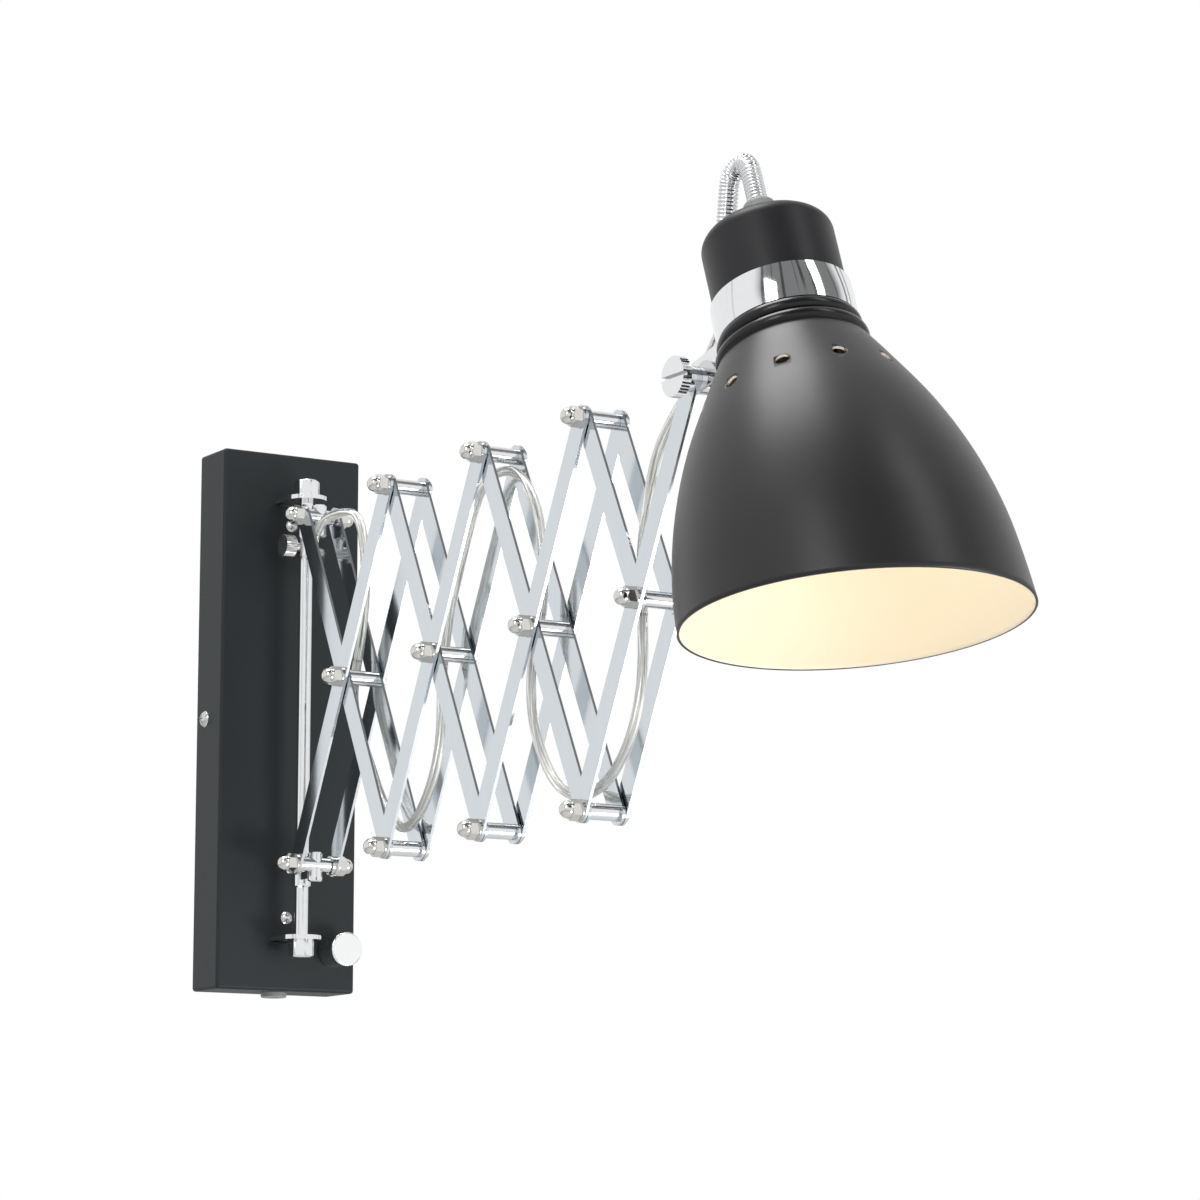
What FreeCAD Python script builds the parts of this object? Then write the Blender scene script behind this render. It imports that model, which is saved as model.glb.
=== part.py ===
import FreeCAD, Part
import math
import os
from FreeCAD import Placement, Rotation, Vector

# Accordion wall lamp.
# Millimetres. X to the right, -Y out of the wall into the room, Z up.
# The origin is the middle of the cover's back edge plane, on the wall.

os.makedirs("parts", exist_ok=True)

# ---- wall box -------------------------------------------------------------
cover_width = 90.0
cover_depth = 32.0
cover_margin = 31.2
cover_wall = 1.5
cover_edge_round = 2.0
bracket_play = 0.3
bracket_sheet = 2.0
bracket_end_gap = 10.5
bracket_flange_depth = 20.0
bracket_flange_height = 36.0
wall_hole_radius = 2.75
wall_hole_spacing = 200.0
wall_cable_hole_radius = 8.0
wall_cable_hole_drop = 60.0

side_screw_radius = 2.0
side_screw_head_radius = 4.9
side_screw_head_height = 2.6
side_screw_length = 9.0
side_screw_depth = 10.0

face_screw_radius = 2.0
face_screw_head_radius = 3.9
face_screw_head_height = 2.2
face_screw_length = 6.0
face_screw_inset = 11.8
screw_clearance = 0.1
recess_width = 1.1
recess_depth = 1.3

# ---- rod and its two brackets ---------------------------------------------
rod_standoff = 18.5
rod_radius = 4.0
rod_end_radius = 3.0
rod_bracket_sheet = 2.5
rod_bracket_width = 18.0
rod_bracket_leg = 25.0
rod_bracket_slot_play = 0.3
rod_nut_flats = 13.0
rod_nut_height = 10.4
rod_nut_chamfer = 1.6
rod_nut_wall = 3.0

# ---- scissor linkage ------------------------------------------------------
link_half = 115.7
fold_angle = math.radians(27.4)
sleeve_pin_offset = 16.5
sleeve_room_above = 12.08
sleeve_room_below = 40.08
strip_width = 13.0
strip_thickness = 1.5
spacer_length = 18.6
spacer_radius = 4.4
pin_radius = 3.0
running_clearance = 0.05
side_gap = 0.1
inner_washer = 0.4
outer_washer = 0.8
inner_washer_radius = 5.6
outer_washer_radius = 6.0
nut_flats = 10.0
nut_hex_height = 5.4
nut_height = 10.4
nut_dome_radius = 4.5
nut_chamfer = 0.7
nut_crown = 2.4
bolt_head_radius = 5.0
bolt_head_height = 2.4

# ---- sleeves on the rod ---------------------------------------------------
sleeve_barrel_radius = 6.5
sleeve_block_radius = 8.5
sleeve_block_advance = 1.0
sleeve_block_above = 6.0
sleeve_block_below = 12.0
sleeve_web_width = 9.0
sleeve_chamfer = 0.8
pin_boss_radius = 4.7
clamp_barrel_drop = 22.2
clamp_screw_drop = 15.7
clamp_screw_radius = 2.5
clamp_wheel_radius = 6.5
clamp_wheel_thickness = 7.0
clamp_wheel_gap = 2.0
knurl_depth = 0.35
clamp_knurls = 28

# ---- knob, dimmer and terminals -------------------------------------------
knob_radius = 10.0
knob_length = 17.5
knob_round = 1.0
knob_rise = 24.8
knob_gap = 0.5
knob_shaft_radius = 3.0
knob_shaft_socket = 10.0
dimmer_width = 24.0
dimmer_wall_gap = 0.7
dimmer_height = 26.0
dimmer_depth = 14.0
dimmer_bush_radius = 4.5
dimmer_shaft_depth = 6.0
terminal_width = 30.0
terminal_height = 16.0
terminal_depth = 13.0
terminal_drop = 68.0
terminal_poles = 3

# ---- bushes for the cable -------------------------------------------------
cable_radius = 2.75
cable_play = 0.15
inlet_radius = 7.6
inlet_flange = 3.0
inlet_neck_radius = 5.5
inlet_y = 16.0
exit_x = 15.0
exit_drop = 16.7
exit_radius = 6.5
exit_flange = 2.0
exit_neck_radius = 4.8

# ---- head -----------------------------------------------------------------
neck_tilt = 20.0
neck_forward = 61.7
neck_rise = 29.3
cap_radius = 33.2
cap_side_height = 27.0
cap_height = 43.5
cap_wall = 1.6
band_radius = 35.4
band_height = 19.5
band_wall = 2.0
band_swell = 0.6
collar_height = 8.0
collar_play = 0.25
ring_inner_radius = 32.0
ring_upper_bead = 36.2
ring_lower_bead = 38.2
ring_upper_height = 7.0
ring_lower_height = 6.6
ring_bead_depth = 2.0
ring_foot_set_in = 1.2
shade_wall = 1.2
shade_mouth_centre = 178.0
shade_mouth_tilt = 12.0
shade_outline = [
    (37.0, -33.1),
    (46.5, -50.0),
    (62.0, -80.0),
    (73.3, -110.0),
    (80.4, -140.0),
    (83.6, -170.0),
    (85.6, -215.0),
]
vent_count = 12
vent_radius = 3.6
vent_level = 61.8
vent_circle_radius = 53.0
vent_rise = 0.55
vent_start = 15.0
grommet_radius = 9.0
grommet_top = 57.5
grommet_neck_radius = 7.0
grommet_neck_depth = 4.0
grommet_round = 3.0
holder_radius = 20.0
holder_top = 6.0
holder_bottom = -32.0
holder_wall = 3.0
nipple_radius = 5.0
nipple_bore = 3.3
bulb_cap_radius = 13.0
bulb_cap_length = 26.0
bulb_neck_radius = 15.0
bulb_radius = 28.0
bulb_length = 104.0
bulb_play = 0.5
bulb_shoulder_swell = 3.5
bulb_shoulder_drop = 20.0

# ---- joint of the head ----------------------------------------------------
fork_sheet = 2.0
fork_end_radius = 8.0
fork_base_height = 17.0
fork_pad_depth = 3.0
head_spacer_radius = 7.2
thumb_hub_radius = 6.6
thumb_hub_length = 5.4
thumb_wheel_radius = 10.5
thumb_wheel_thickness = 5.0
thumb_slot_width = 2.0
thumb_slot_depth = 2.2
thumb_knurls = 36

# ---- metal hose over the cable at the cap ---------------------------------
hose_radius = 5.25
hose_rib_depth = 0.55
hose_rib_pitch = 1.95
hose_bore = 3.4
hose_seat_rise = 1.5
hose_straight = 29.3
hose_bend_radius = 10.3
hose_bend_turn = 152.0
hose_drop = 42.0
cable_in_hose = 12.0

# ---- places that follow from the sizes ------------------------------------
face_y = -cover_depth
rod_y = face_y - rod_standoff
step = link_half * math.sin(fold_angle)
rise = link_half * math.cos(fold_angle)
sleeve_y = rod_y - sleeve_pin_offset
rod_bracket_reach = rise + (sleeve_room_above + sleeve_room_below) / 2
upper_z = rod_bracket_reach - sleeve_room_above
middle_z = upper_z - rise
lower_z = middle_z - rise
cover_height = 2 * (rod_bracket_reach + cover_margin)
face_screw_height = rod_bracket_reach - face_screw_inset
knob_x = cover_width / 2 - cover_wall - dimmer_wall_gap - dimmer_width / 2
knob_z = knob_rise - cover_height / 2
exit_z = upper_z - exit_drop
terminal_z = cover_height / 2 - terminal_drop
bracket_height = cover_height - 2 * (cover_wall + bracket_end_gap)
hose_start = cap_height + hose_seat_rise

half_gap = spacer_length / 2.0
inner_strip_x = half_gap + side_gap
inner_washer_x = inner_strip_x + strip_thickness + side_gap
outer_strip_x = inner_washer_x + inner_washer
outer_face_x = outer_strip_x + strip_thickness
outer_nut_x = outer_face_x + outer_washer
inner_face_x = inner_strip_x + strip_thickness
hole_radius = pin_radius + running_clearance


def mid_point(k):
    """Middle pivot of the k-th pair of links, as (y, z)."""
    return (sleeve_y - (2 * k - 1) * step, middle_z)


def top_point(k):
    """Upper pivot k; 0 is the upper sleeve and 4 the head."""
    return (sleeve_y - 2 * k * step, upper_z)


def bottom_point(k):
    """Lower pivot k; 0 is the lower sleeve."""
    return (sleeve_y - 2 * k * step, lower_z)


head_y, head_z = top_point(4)

# ---- helpers --------------------------------------------------------------
nodes = {}


def keep(name, solids):
    """Write one node, either a single solid or a group of separate ones."""
    if not isinstance(solids, list):
        solids = [solids]
    shape = solids[0] if len(solids) == 1 else Part.makeCompound(solids)
    nodes[name] = shape
    shape.exportStep("parts/" + name + ".step")


def rod_x(radius, x0, x1, y, z):
    """Round bar along X from x0 to x1."""
    return Part.makeCylinder(radius, x1 - x0, Vector(x0, y, z), Vector(1, 0, 0))


def tube_x(outer, inner, x0, x1, y, z):
    """Round tube along X from x0 to x1."""
    return rod_x(outer, x0, x1, y, z).cut(rod_x(inner, x0 - 1, x1 + 1, y, z))


def rod_z(radius, z0, z1, x, y):
    """Upright round bar from z0 to z1."""
    return Part.makeCylinder(radius, z1 - z0, Vector(x, y, z0))


def rod_back(radius, y0, y1, x, z):
    """Round bar along Y from y0 to y1."""
    return Part.makeCylinder(radius, y1 - y0, Vector(x, y0, z), Vector(0, 1, 0))


def box(x0, x1, y0, y1, z0, z1):
    """Block between two corners."""
    return Part.makeBox(x1 - x0, y1 - y0, z1 - z0, Vector(x0, y0, z0))


def mirror_x(shape):
    """The same piece on the other side of the arm's middle plane."""
    return shape.mirror(Vector(0, 0, 0), Vector(1, 0, 0))


def revolve(outline):
    """Turn a closed outline of (radius, height) points about Z."""
    points = [Vector(r, 0, h) for r, h in outline]
    wire = Part.makePolygon(points + [points[0]])
    return Part.Face(wire).revolve(Vector(0, 0, 0), Vector(0, 0, 1), 360)


def edge(a, b):
    """Straight edge between two (radius, height) points."""
    return Part.LineSegment(Vector(a[0], 0, a[1]), Vector(b[0], 0, b[1])).toShape()


def bow(a, b, c):
    """Arc edge through three (radius, height) points."""
    return Part.Arc(Vector(a[0], 0, a[1]), Vector(b[0], 0, b[1]), Vector(c[0], 0, c[1])).toShape()


def revolve_edges(edges):
    """Turn a closed run of edges in the XZ plane about Z."""
    face = Part.Face(Part.Wire(edges))
    return face.revolve(Vector(0, 0, 0), Vector(0, 0, 1), 360)


def hexagon_x(flats, x0, x1, y, z):
    """Hexagonal bar along X, with two corners up and down."""
    corner = flats / math.sqrt(3.0)
    points = []
    for i in range(7):
        angle = math.radians(60 * i + 30)
        points.append(Vector(x0, y + corner * math.cos(angle), z + corner * math.sin(angle)))
    return Part.Face(Part.makePolygon(points)).extrude(Vector(x1 - x0, 0, 0))


def knurled(radius, x0, x1, y, z, teeth):
    """Round wheel along X with straight knurls round its rim."""
    points = []
    for i in range(2 * teeth):
        angle = math.pi * i / teeth
        reach = radius if i % 2 == 0 else radius - knurl_depth
        points.append(Vector(x0, y + reach * math.cos(angle), z + reach * math.sin(angle)))
    points.append(points[0])
    return Part.Face(Part.makePolygon(points)).extrude(Vector(x1 - x0, 0, 0))


def cross_recess(at, along, depth, width, reach):
    """Cutting tool for a cross recess; along is the unit direction into the head."""
    tool = Part.makeBox(reach, width, depth, Vector(-reach / 2, -width / 2, 0))
    other = Part.makeBox(width, reach, depth, Vector(-width / 2, -reach / 2, 0))
    tool = tool.fuse(other)
    tool.Placement = Placement(at, Rotation(Vector(0, 0, 1), along))
    return tool


def domed_screw(head_radius, head_height, shank_radius, length):
    """Cross-head screw along -Z, its head above the XY plane."""
    sphere = (head_radius ** 2 + head_height ** 2) / (2 * head_height)
    dome = Part.makeSphere(sphere, Vector(0, 0, head_height - sphere))
    head = dome.common(Part.makeCylinder(head_radius, head_height))
    shank = Part.makeCylinder(shank_radius, length, Vector(0, 0, -length))
    top = Vector(0, 0, head_height)
    recess = cross_recess(top, Vector(0, 0, -1), recess_depth, recess_width, head_radius)
    return head.fuse(shank).cut(recess).removeSplitter()


# ---- wall box -------------------------------------------------------------
def make_cover():
    """Five-sided black sheet cover, open to the wall."""
    w = cover_width / 2
    h = cover_height / 2
    outer = box(-w, w, face_y, 0, -h, h)
    round_edges = []
    for e in outer.Edges:
        middle = e.CenterOfMass
        if middle.y < -cover_depth / 4:
            round_edges.append(e)
    outer = outer.makeFillet(cover_edge_round, round_edges)
    t = cover_wall
    inner = box(-w + t, w - t, face_y + t, 1, -h + t, h - t)
    cover = outer.cut(inner)
    half = rod_bracket_width / 2 + rod_bracket_slot_play
    for side in (1, -1):
        near = rod_bracket_reach - rod_bracket_slot_play
        far = rod_bracket_reach + rod_bracket_sheet + rod_bracket_slot_play
        low = min(side * near, side * far)
        high = max(side * near, side * far)
        cover = cover.cut(box(-half, half, face_y - 1, face_y + t + 1, low, high))
        hole = face_screw_radius + screw_clearance
        cover = cover.cut(rod_back(hole, face_y - 1, face_y + t + 1, 0, side * face_screw_height))
        hole = side_screw_radius + screw_clearance
        cover = cover.cut(rod_x(hole, side * w - 3, side * w + 3, -side_screw_depth, 0))
    hole = dimmer_bush_radius + screw_clearance
    cover = cover.cut(rod_back(hole, face_y - 1, face_y + t + 1, knob_x, knob_z))
    hole = exit_neck_radius + screw_clearance
    cover = cover.cut(rod_back(hole, face_y - 1, face_y + t + 1, exit_x, exit_z))
    hole = inlet_neck_radius + screw_clearance
    cover = cover.cut(rod_z(hole, -h - 1, -h + t + 1, 0, -inlet_y))
    keep("wall_cover", cover)


def make_wall_bracket():
    """Flat steel plate against the wall with a folded ear for each side screw."""
    half = cover_width / 2 - cover_wall - bracket_play
    t = bracket_sheet
    plate = box(-half, half, -t, 0, -bracket_height / 2, bracket_height / 2)
    for side in (1, -1):
        edge_x = side * half
        inner_x = side * (half - t)
        low = min(edge_x, inner_x)
        high = max(edge_x, inner_x)
        ear_half = bracket_flange_height / 2
        plate = plate.fuse(box(low, high, -bracket_flange_depth, 0, -ear_half, ear_half))
        hole = side_screw_radius + screw_clearance
        plate = plate.cut(rod_x(hole, low - 1, high + 1, -side_screw_depth, 0))
        z = side * wall_hole_spacing / 2
        plate = plate.cut(rod_back(wall_hole_radius, -t - 1, 1, 0, z))
    plate = plate.cut(rod_back(wall_cable_hole_radius, -t - 1, 1, 0, -wall_cable_hole_drop))
    keep("wall_bracket", plate.removeSplitter())


def make_cover_screws():
    """Two domed screws in the sides and two smaller ones in the face."""
    screws = []
    for side in (1, -1):
        screw = domed_screw(side_screw_head_radius, side_screw_head_height,
                            side_screw_radius, side_screw_length)
        at = Vector(side * cover_width / 2, -side_screw_depth, 0)
        screw.Placement = Placement(at, Rotation(Vector(0, 0, 1), Vector(side, 0, 0)))
        screws.append(screw)
    keep("side_screws", screws)
    screws = []
    for side in (1, -1):
        screw = domed_screw(face_screw_head_radius, face_screw_head_height,
                            face_screw_radius, face_screw_length)
        at = Vector(0, face_y, side * face_screw_height)
        screw.Placement = Placement(at, Rotation(Vector(0, 0, 1), Vector(0, -1, 0)))
        screws.append(screw)
    keep("face_screws", screws)


def make_rod_brackets():
    """Angle brackets: a leaf out of a slot in the face, a leg screwed behind it."""
    half = rod_bracket_width / 2
    back = face_y + cover_wall
    t = rod_bracket_sheet
    leaf = box(-half, half, rod_y, back + t, rod_bracket_reach, rod_bracket_reach + t)
    leaf = leaf.fuse(rod_z(half, rod_bracket_reach, rod_bracket_reach + t, 0, rod_y))
    leg_end = rod_bracket_reach + t - rod_bracket_leg
    leaf = leaf.fuse(box(-half, half, back, back + t, leg_end, rod_bracket_reach + t))
    leaf = leaf.removeSplitter()
    hole = rod_end_radius + running_clearance
    leaf = leaf.cut(rod_z(hole, rod_bracket_reach - 1, rod_bracket_reach + t + 1, 0, rod_y))
    hole = face_screw_radius + running_clearance
    leaf = leaf.cut(rod_back(hole, back - 1, back + t + 1, 0, face_screw_height))
    keep("upper_rod_bracket", leaf)
    keep("lower_rod_bracket", leaf.mirror(Vector(0, 0, 0), Vector(0, 0, 1)))


def make_rod():
    """Upright rod, shouldered down at both ends to pass through the brackets."""
    reach = rod_bracket_reach
    rod = rod_z(rod_radius, -reach, reach, 0, rod_y)
    rod_end = reach + rod_bracket_sheet + rod_nut_height - rod_nut_wall
    rod = rod.fuse(rod_z(rod_end_radius, -rod_end, rod_end, 0, rod_y))
    keep("rod", rod.removeSplitter())


def make_rod_nuts():
    """Closed hexagon nuts on both ends of the rod."""
    base = rod_bracket_reach + rod_bracket_sheet
    corner = rod_nut_flats / math.sqrt(3.0)
    top = rod_nut_height
    points = []
    for i in range(7):
        angle = math.radians(60 * i + 30)
        points.append(Vector(corner * math.cos(angle), corner * math.sin(angle), 0))
    prism = Part.Face(Part.makePolygon(points)).extrude(Vector(0, 0, top))
    lathe = revolve([(0, 0), (corner - 0.5, 0), (corner, 0.5), (corner, top - rod_nut_chamfer),
                     (corner - 2 * rod_nut_chamfer, top), (0, top)])
    nut = prism.common(lathe)
    bore = rod_end_radius + running_clearance
    nut = nut.cut(Part.makeCylinder(bore, top - rod_nut_wall + 0.2))
    nuts = []
    for side in (1, -1):
        turned = nut.copy()
        at = Vector(0, rod_y, side * base)
        turned.Placement = Placement(at, Rotation(Vector(0, 0, 1), Vector(0, 0, side)))
        nuts.append(turned)
    keep("rod_cap_nuts", nuts)


# ---- sleeves --------------------------------------------------------------
def sleeve(pin_z, barrel_bottom):
    """Barrel round the rod joined by a web to the block that holds the pivot pin."""
    top = pin_z + sleeve_block_above
    bottom = pin_z - sleeve_block_below
    block_y = sleeve_y - sleeve_block_advance
    block = rod_z(sleeve_block_radius, bottom, top, 0, block_y)
    rims = [e for e in block.Edges if e.Length > 6.0 * sleeve_block_radius]
    block = block.makeChamfer(sleeve_chamfer, rims)
    barrel = rod_z(sleeve_barrel_radius, barrel_bottom, top, 0, rod_y)
    half = sleeve_web_width / 2
    web = box(-half, half, block_y, rod_y, bottom + sleeve_chamfer, top - sleeve_chamfer)
    boss = rod_x(pin_boss_radius, -half_gap, half_gap, sleeve_y, pin_z)
    body = block.fuse(barrel).fuse(web).fuse(boss).removeSplitter()
    bore = rod_radius + running_clearance
    body = body.cut(rod_z(bore, barrel_bottom - 1, top + 1, 0, rod_y))
    return body.cut(rod_x(hole_radius, -half_gap - 1, half_gap + 1, sleeve_y, pin_z))


def make_sleeves():
    """Upper sleeve with its clamp screw, and the lower sleeve that slides."""
    clamp_z = upper_z - clamp_screw_drop
    upper = sleeve(upper_z, upper_z - clamp_barrel_drop)
    hole = clamp_screw_radius + running_clearance
    upper = upper.cut(rod_x(hole, -sleeve_barrel_radius - 1, 0, rod_y, clamp_z))
    keep("upper_sleeve", upper)
    keep("lower_sleeve", sleeve(lower_z, lower_z - sleeve_block_below + sleeve_chamfer))
    tip = -(rod_radius + side_gap)
    wheel_near = -(sleeve_barrel_radius + clamp_wheel_gap)
    wheel_far = wheel_near - clamp_wheel_thickness
    screw = rod_x(clamp_screw_radius, wheel_near, tip, rod_y, clamp_z)
    wheel = knurled(clamp_wheel_radius, wheel_far, wheel_near, rod_y, clamp_z, clamp_knurls)
    keep("clamp_screw", screw.fuse(wheel).removeSplitter())


# ---- scissor linkage ------------------------------------------------------
def strip(x0, start, end, holes):
    """Flat bar with round ends in a plane X = constant, drilled at its pivots."""
    length = math.hypot(end[0] - start[0], end[1] - start[1])
    r = strip_width / 2
    turn = math.atan2(end[1] - start[1], end[0] - start[0])
    low_left = Vector(0, 0, -r)
    low_right = Vector(0, length, -r)
    high_right = Vector(0, length, r)
    high_left = Vector(0, 0, r)
    edges = [
        Part.LineSegment(low_left, low_right).toShape(),
        Part.Arc(low_right, Vector(0, length + r, 0), high_right).toShape(),
        Part.LineSegment(high_right, high_left).toShape(),
        Part.Arc(high_left, Vector(0, -r, 0), low_left).toShape(),
    ]
    bar = Part.Face(Part.Wire(edges)).extrude(Vector(strip_thickness, 0, 0))
    turned = Rotation(Vector(1, 0, 0), math.degrees(turn))
    bar.Placement = Placement(Vector(x0, start[0], start[1]), turned)
    for y, z in holes:
        bar = bar.cut(rod_x(hole_radius, x0 - 1, x0 + strip_thickness + 1, y, z))
    return bar


def acorn_nut(face_x, y, z):
    """Domed nut on the -X side, seated on the plane X = -face_x."""
    hexagon = hexagon_x(nut_flats, -face_x - nut_hex_height, -face_x, y, z)
    corner = nut_flats / math.sqrt(3.0)
    lathe = revolve_edges([
        edge((0, 0), (corner - nut_chamfer / 2, 0)),
        edge((corner - nut_chamfer / 2, 0), (corner, nut_chamfer / 2)),
        edge((corner, nut_chamfer / 2), (corner, nut_hex_height - nut_chamfer)),
        edge((corner, nut_hex_height - nut_chamfer), (corner - nut_chamfer, nut_hex_height)),
        edge((corner - nut_chamfer, nut_hex_height), (0, nut_hex_height)),
        edge((0, nut_hex_height), (0, 0)),
    ])
    mid_r = nut_dome_radius * 0.78
    mid_h = nut_hex_height + (nut_height - nut_hex_height) * 0.72
    dome = revolve_edges([
        edge((0, nut_hex_height - 0.5), (nut_dome_radius, nut_hex_height - 0.5)),
        edge((nut_dome_radius, nut_hex_height - 0.5), (nut_dome_radius, nut_hex_height)),
        bow((nut_dome_radius, nut_hex_height), (mid_r, mid_h), (0, nut_height)),
        edge((0, nut_height), (0, nut_hex_height - 0.5)),
    ])
    seat = Placement(Vector(-face_x, y, z), Rotation(Vector(0, 0, 1), Vector(-1, 0, 0)))
    lathe.Placement = seat
    dome.Placement = seat
    nut = hexagon.common(lathe).fuse(dome).removeSplitter()
    depth = nut_height - nut_crown
    return nut.cut(rod_x(hole_radius, -face_x - depth, -face_x + 1, y, z))


def bolt(y, z):
    """Low-headed bolt through a pivot, its head on the +X side."""
    tip = -(outer_nut_x + nut_height - nut_crown - 0.4)
    shank = rod_x(pin_radius, tip, outer_face_x, y, z)
    head = rod_x(bolt_head_radius, outer_face_x, outer_face_x + bolt_head_height, y, z)
    rim = [e for e in head.Edges if e.CenterOfMass.x > outer_face_x + bolt_head_height - 0.01]
    head = head.makeChamfer(bolt_head_height * 0.35, [rim[0]])
    return shank.fuse(head).removeSplitter()


def stud(y, z, face_x):
    """Plain stud with a domed nut on both ends, used at the sleeves."""
    reach = face_x + nut_height - nut_crown - 0.4
    return rod_x(pin_radius, -reach, reach, y, z)


def washers(y, z):
    """Outer washer under the nut and thin washers between the two strips."""
    thin_end = inner_washer_x + inner_washer
    outer = tube_x(outer_washer_radius, hole_radius, -outer_nut_x, -outer_face_x, y, z)
    left = tube_x(inner_washer_radius, hole_radius, -thin_end, -inner_washer_x, y, z)
    return [outer, left, mirror_x(left)]


def make_rising_links():
    """The four pairs of strips that rise away from the wall, with their fasteners."""
    for k in (1, 2, 3, 4):
        low = bottom_point(k - 1)
        high = top_point(k)
        middle = mid_point(k)
        left = strip(-outer_face_x, low, high, [low, middle, high])
        keep("rising_strip_%d_left" % k, left)
        keep("rising_strip_%d_right" % k, mirror_x(left))
        pivots = [middle]
        if k > 1:
            pivots.append(low)
        if k < 4:
            pivots.append(high)
        fasteners = []
        spacers = []
        for y, z in pivots:
            fasteners.append(bolt(y, z))
            fasteners.append(acorn_nut(outer_nut_x, y, z))
            fasteners.extend(washers(y, z))
            spacers.append(tube_x(spacer_radius, hole_radius, -half_gap, half_gap, y, z))
        if k == 1:
            y, z = low
            nut = acorn_nut(outer_nut_x, y, z)
            outer = tube_x(outer_washer_radius, hole_radius, -outer_nut_x, -outer_face_x, y, z)
            inside = half_gap + side_gap
            filler = tube_x(inner_washer_radius, hole_radius, -outer_strip_x, -inside, y, z)
            fasteners.append(stud(y, z, outer_nut_x))
            fasteners.extend([nut, mirror_x(nut), outer, mirror_x(outer)])
            fasteners.extend([filler, mirror_x(filler)])
        keep("rising_fasteners_%d" % k, fasteners)
        keep("rising_spacers_%d" % k, spacers)


def make_falling_links():
    """The strips that fall away from the wall; the last pair is half length."""
    for k in (1, 2, 3, 4):
        high = top_point(k - 1)
        middle = mid_point(k)
        low = bottom_point(k)
        if k < 4:
            left = strip(-inner_face_x, high, low, [high, middle, low])
        else:
            left = strip(-inner_face_x, high, middle, [high, middle])
        keep("falling_strip_%d_left" % k, left)
        keep("falling_strip_%d_right" % k, mirror_x(left))
    y, z = top_point(0)
    face_x = inner_face_x + outer_washer
    nut = acorn_nut(face_x, y, z)
    washer = tube_x(outer_washer_radius, hole_radius, -face_x, -inner_face_x, y, z)
    pin = stud(y, z, face_x)
    keep("falling_fasteners_1", [pin, nut, mirror_x(nut), washer, mirror_x(washer)])


# ---- knob and what is behind it -------------------------------------------
def make_knob():
    """Turning knob on the dimmer's shaft, with the dimmer behind the face."""
    back = face_y - knob_gap
    front = back - knob_length
    knob = rod_back(knob_radius, front, back, knob_x, knob_z)
    rim = [e for e in knob.Edges if e.CenterOfMass.y < front + 0.01]
    knob = knob.makeFillet(knob_round, [rim[0]])
    socket = knob_shaft_radius + running_clearance
    knob = knob.cut(rod_back(socket, back - knob_shaft_socket, back + 1, knob_x, knob_z))
    keep("dimmer_knob", knob)
    inner = face_y + cover_wall
    shaft_back = inner + dimmer_shaft_depth
    shaft_front = back - knob_shaft_socket + side_gap
    keep("dimmer_shaft", rod_back(knob_shaft_radius, shaft_front, shaft_back, knob_x, knob_z))
    w = dimmer_width / 2
    h = dimmer_height / 2
    body = box(knob_x - w, knob_x + w, inner, inner + dimmer_depth, knob_z - h, knob_z + h)
    bush = rod_back(dimmer_bush_radius, inner - cover_wall, inner, knob_x, knob_z)
    body = body.fuse(bush)
    hole = knob_shaft_radius + running_clearance
    body = body.cut(rod_back(hole, face_y - 1, shaft_back + side_gap, knob_x, knob_z))
    keep("dimmer_module", body.removeSplitter())


def make_terminal_block():
    """Three-pole terminal block on the wall bracket, inside the cover."""
    w = terminal_width / 2
    h = terminal_height / 2
    back = -bracket_sheet
    block = box(-w, w, back - terminal_depth, back, terminal_z - h, terminal_z + h)
    pitch = terminal_width / terminal_poles
    for i in range(terminal_poles):
        x = -w + pitch * (i + 0.5)
        block = block.cut(rod_z(1.9, terminal_z - h - 1, terminal_z + h + 1, x, back - 4.0))
        block = block.cut(rod_back(2.1, back - terminal_depth - 1, back - 5.5, x, terminal_z - 4))
    keep("terminal_block", block)


def make_bushes():
    """Grey bush under the box and the small one where the cable leaves the face."""
    h = cover_height / 2
    bush = rod_z(inlet_radius, -h - inlet_flange, -h, 0, -inlet_y)
    neck = rod_z(inlet_neck_radius, -h, -h + cover_wall + 1.5, 0, -inlet_y)
    rim = [e for e in bush.Edges if e.CenterOfMass.z < -h - inlet_flange + 0.01]
    bush = bush.makeFillet(1.0, [rim[0]]).fuse(neck)
    bore = cable_radius + cable_play
    bush = bush.cut(rod_z(bore, -h - inlet_flange - 1, -h + 10, 0, -inlet_y))
    keep("cable_inlet_bush", bush.removeSplitter())
    bush = rod_back(exit_radius, face_y - exit_flange, face_y, exit_x, exit_z)
    rim = [e for e in bush.Edges if e.CenterOfMass.y < face_y - exit_flange + 0.01]
    bush = bush.makeFillet(0.8, [rim[0]])
    bush = bush.fuse(rod_back(exit_neck_radius, face_y, face_y + cover_wall + 1.5, exit_x, exit_z))
    bush = bush.cut(rod_back(bore, face_y - exit_flange - 1, face_y + 10, exit_x, exit_z))
    keep("cable_exit_bush", bush.removeSplitter())


# ---- head -----------------------------------------------------------------
# The head is modelled upright about Z, with Z = 0 where the cap meets the band,
# and then leaned back towards the wall.
head_place = Placement(Vector(0, head_y - neck_forward, head_z + neck_rise),
                       Rotation(Vector(1, 0, 0), -neck_tilt))


def keep_head(name, shape):
    """Lean a head piece into place and write it."""
    placed = shape.copy()
    placed.Placement = head_place.multiply(placed.Placement)
    keep(name, placed)


lean = math.radians(neck_tilt)
pivot_y = neck_forward * math.cos(lean) + neck_rise * math.sin(lean)
pivot_z = neck_forward * math.sin(lean) - neck_rise * math.cos(lean)


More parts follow.
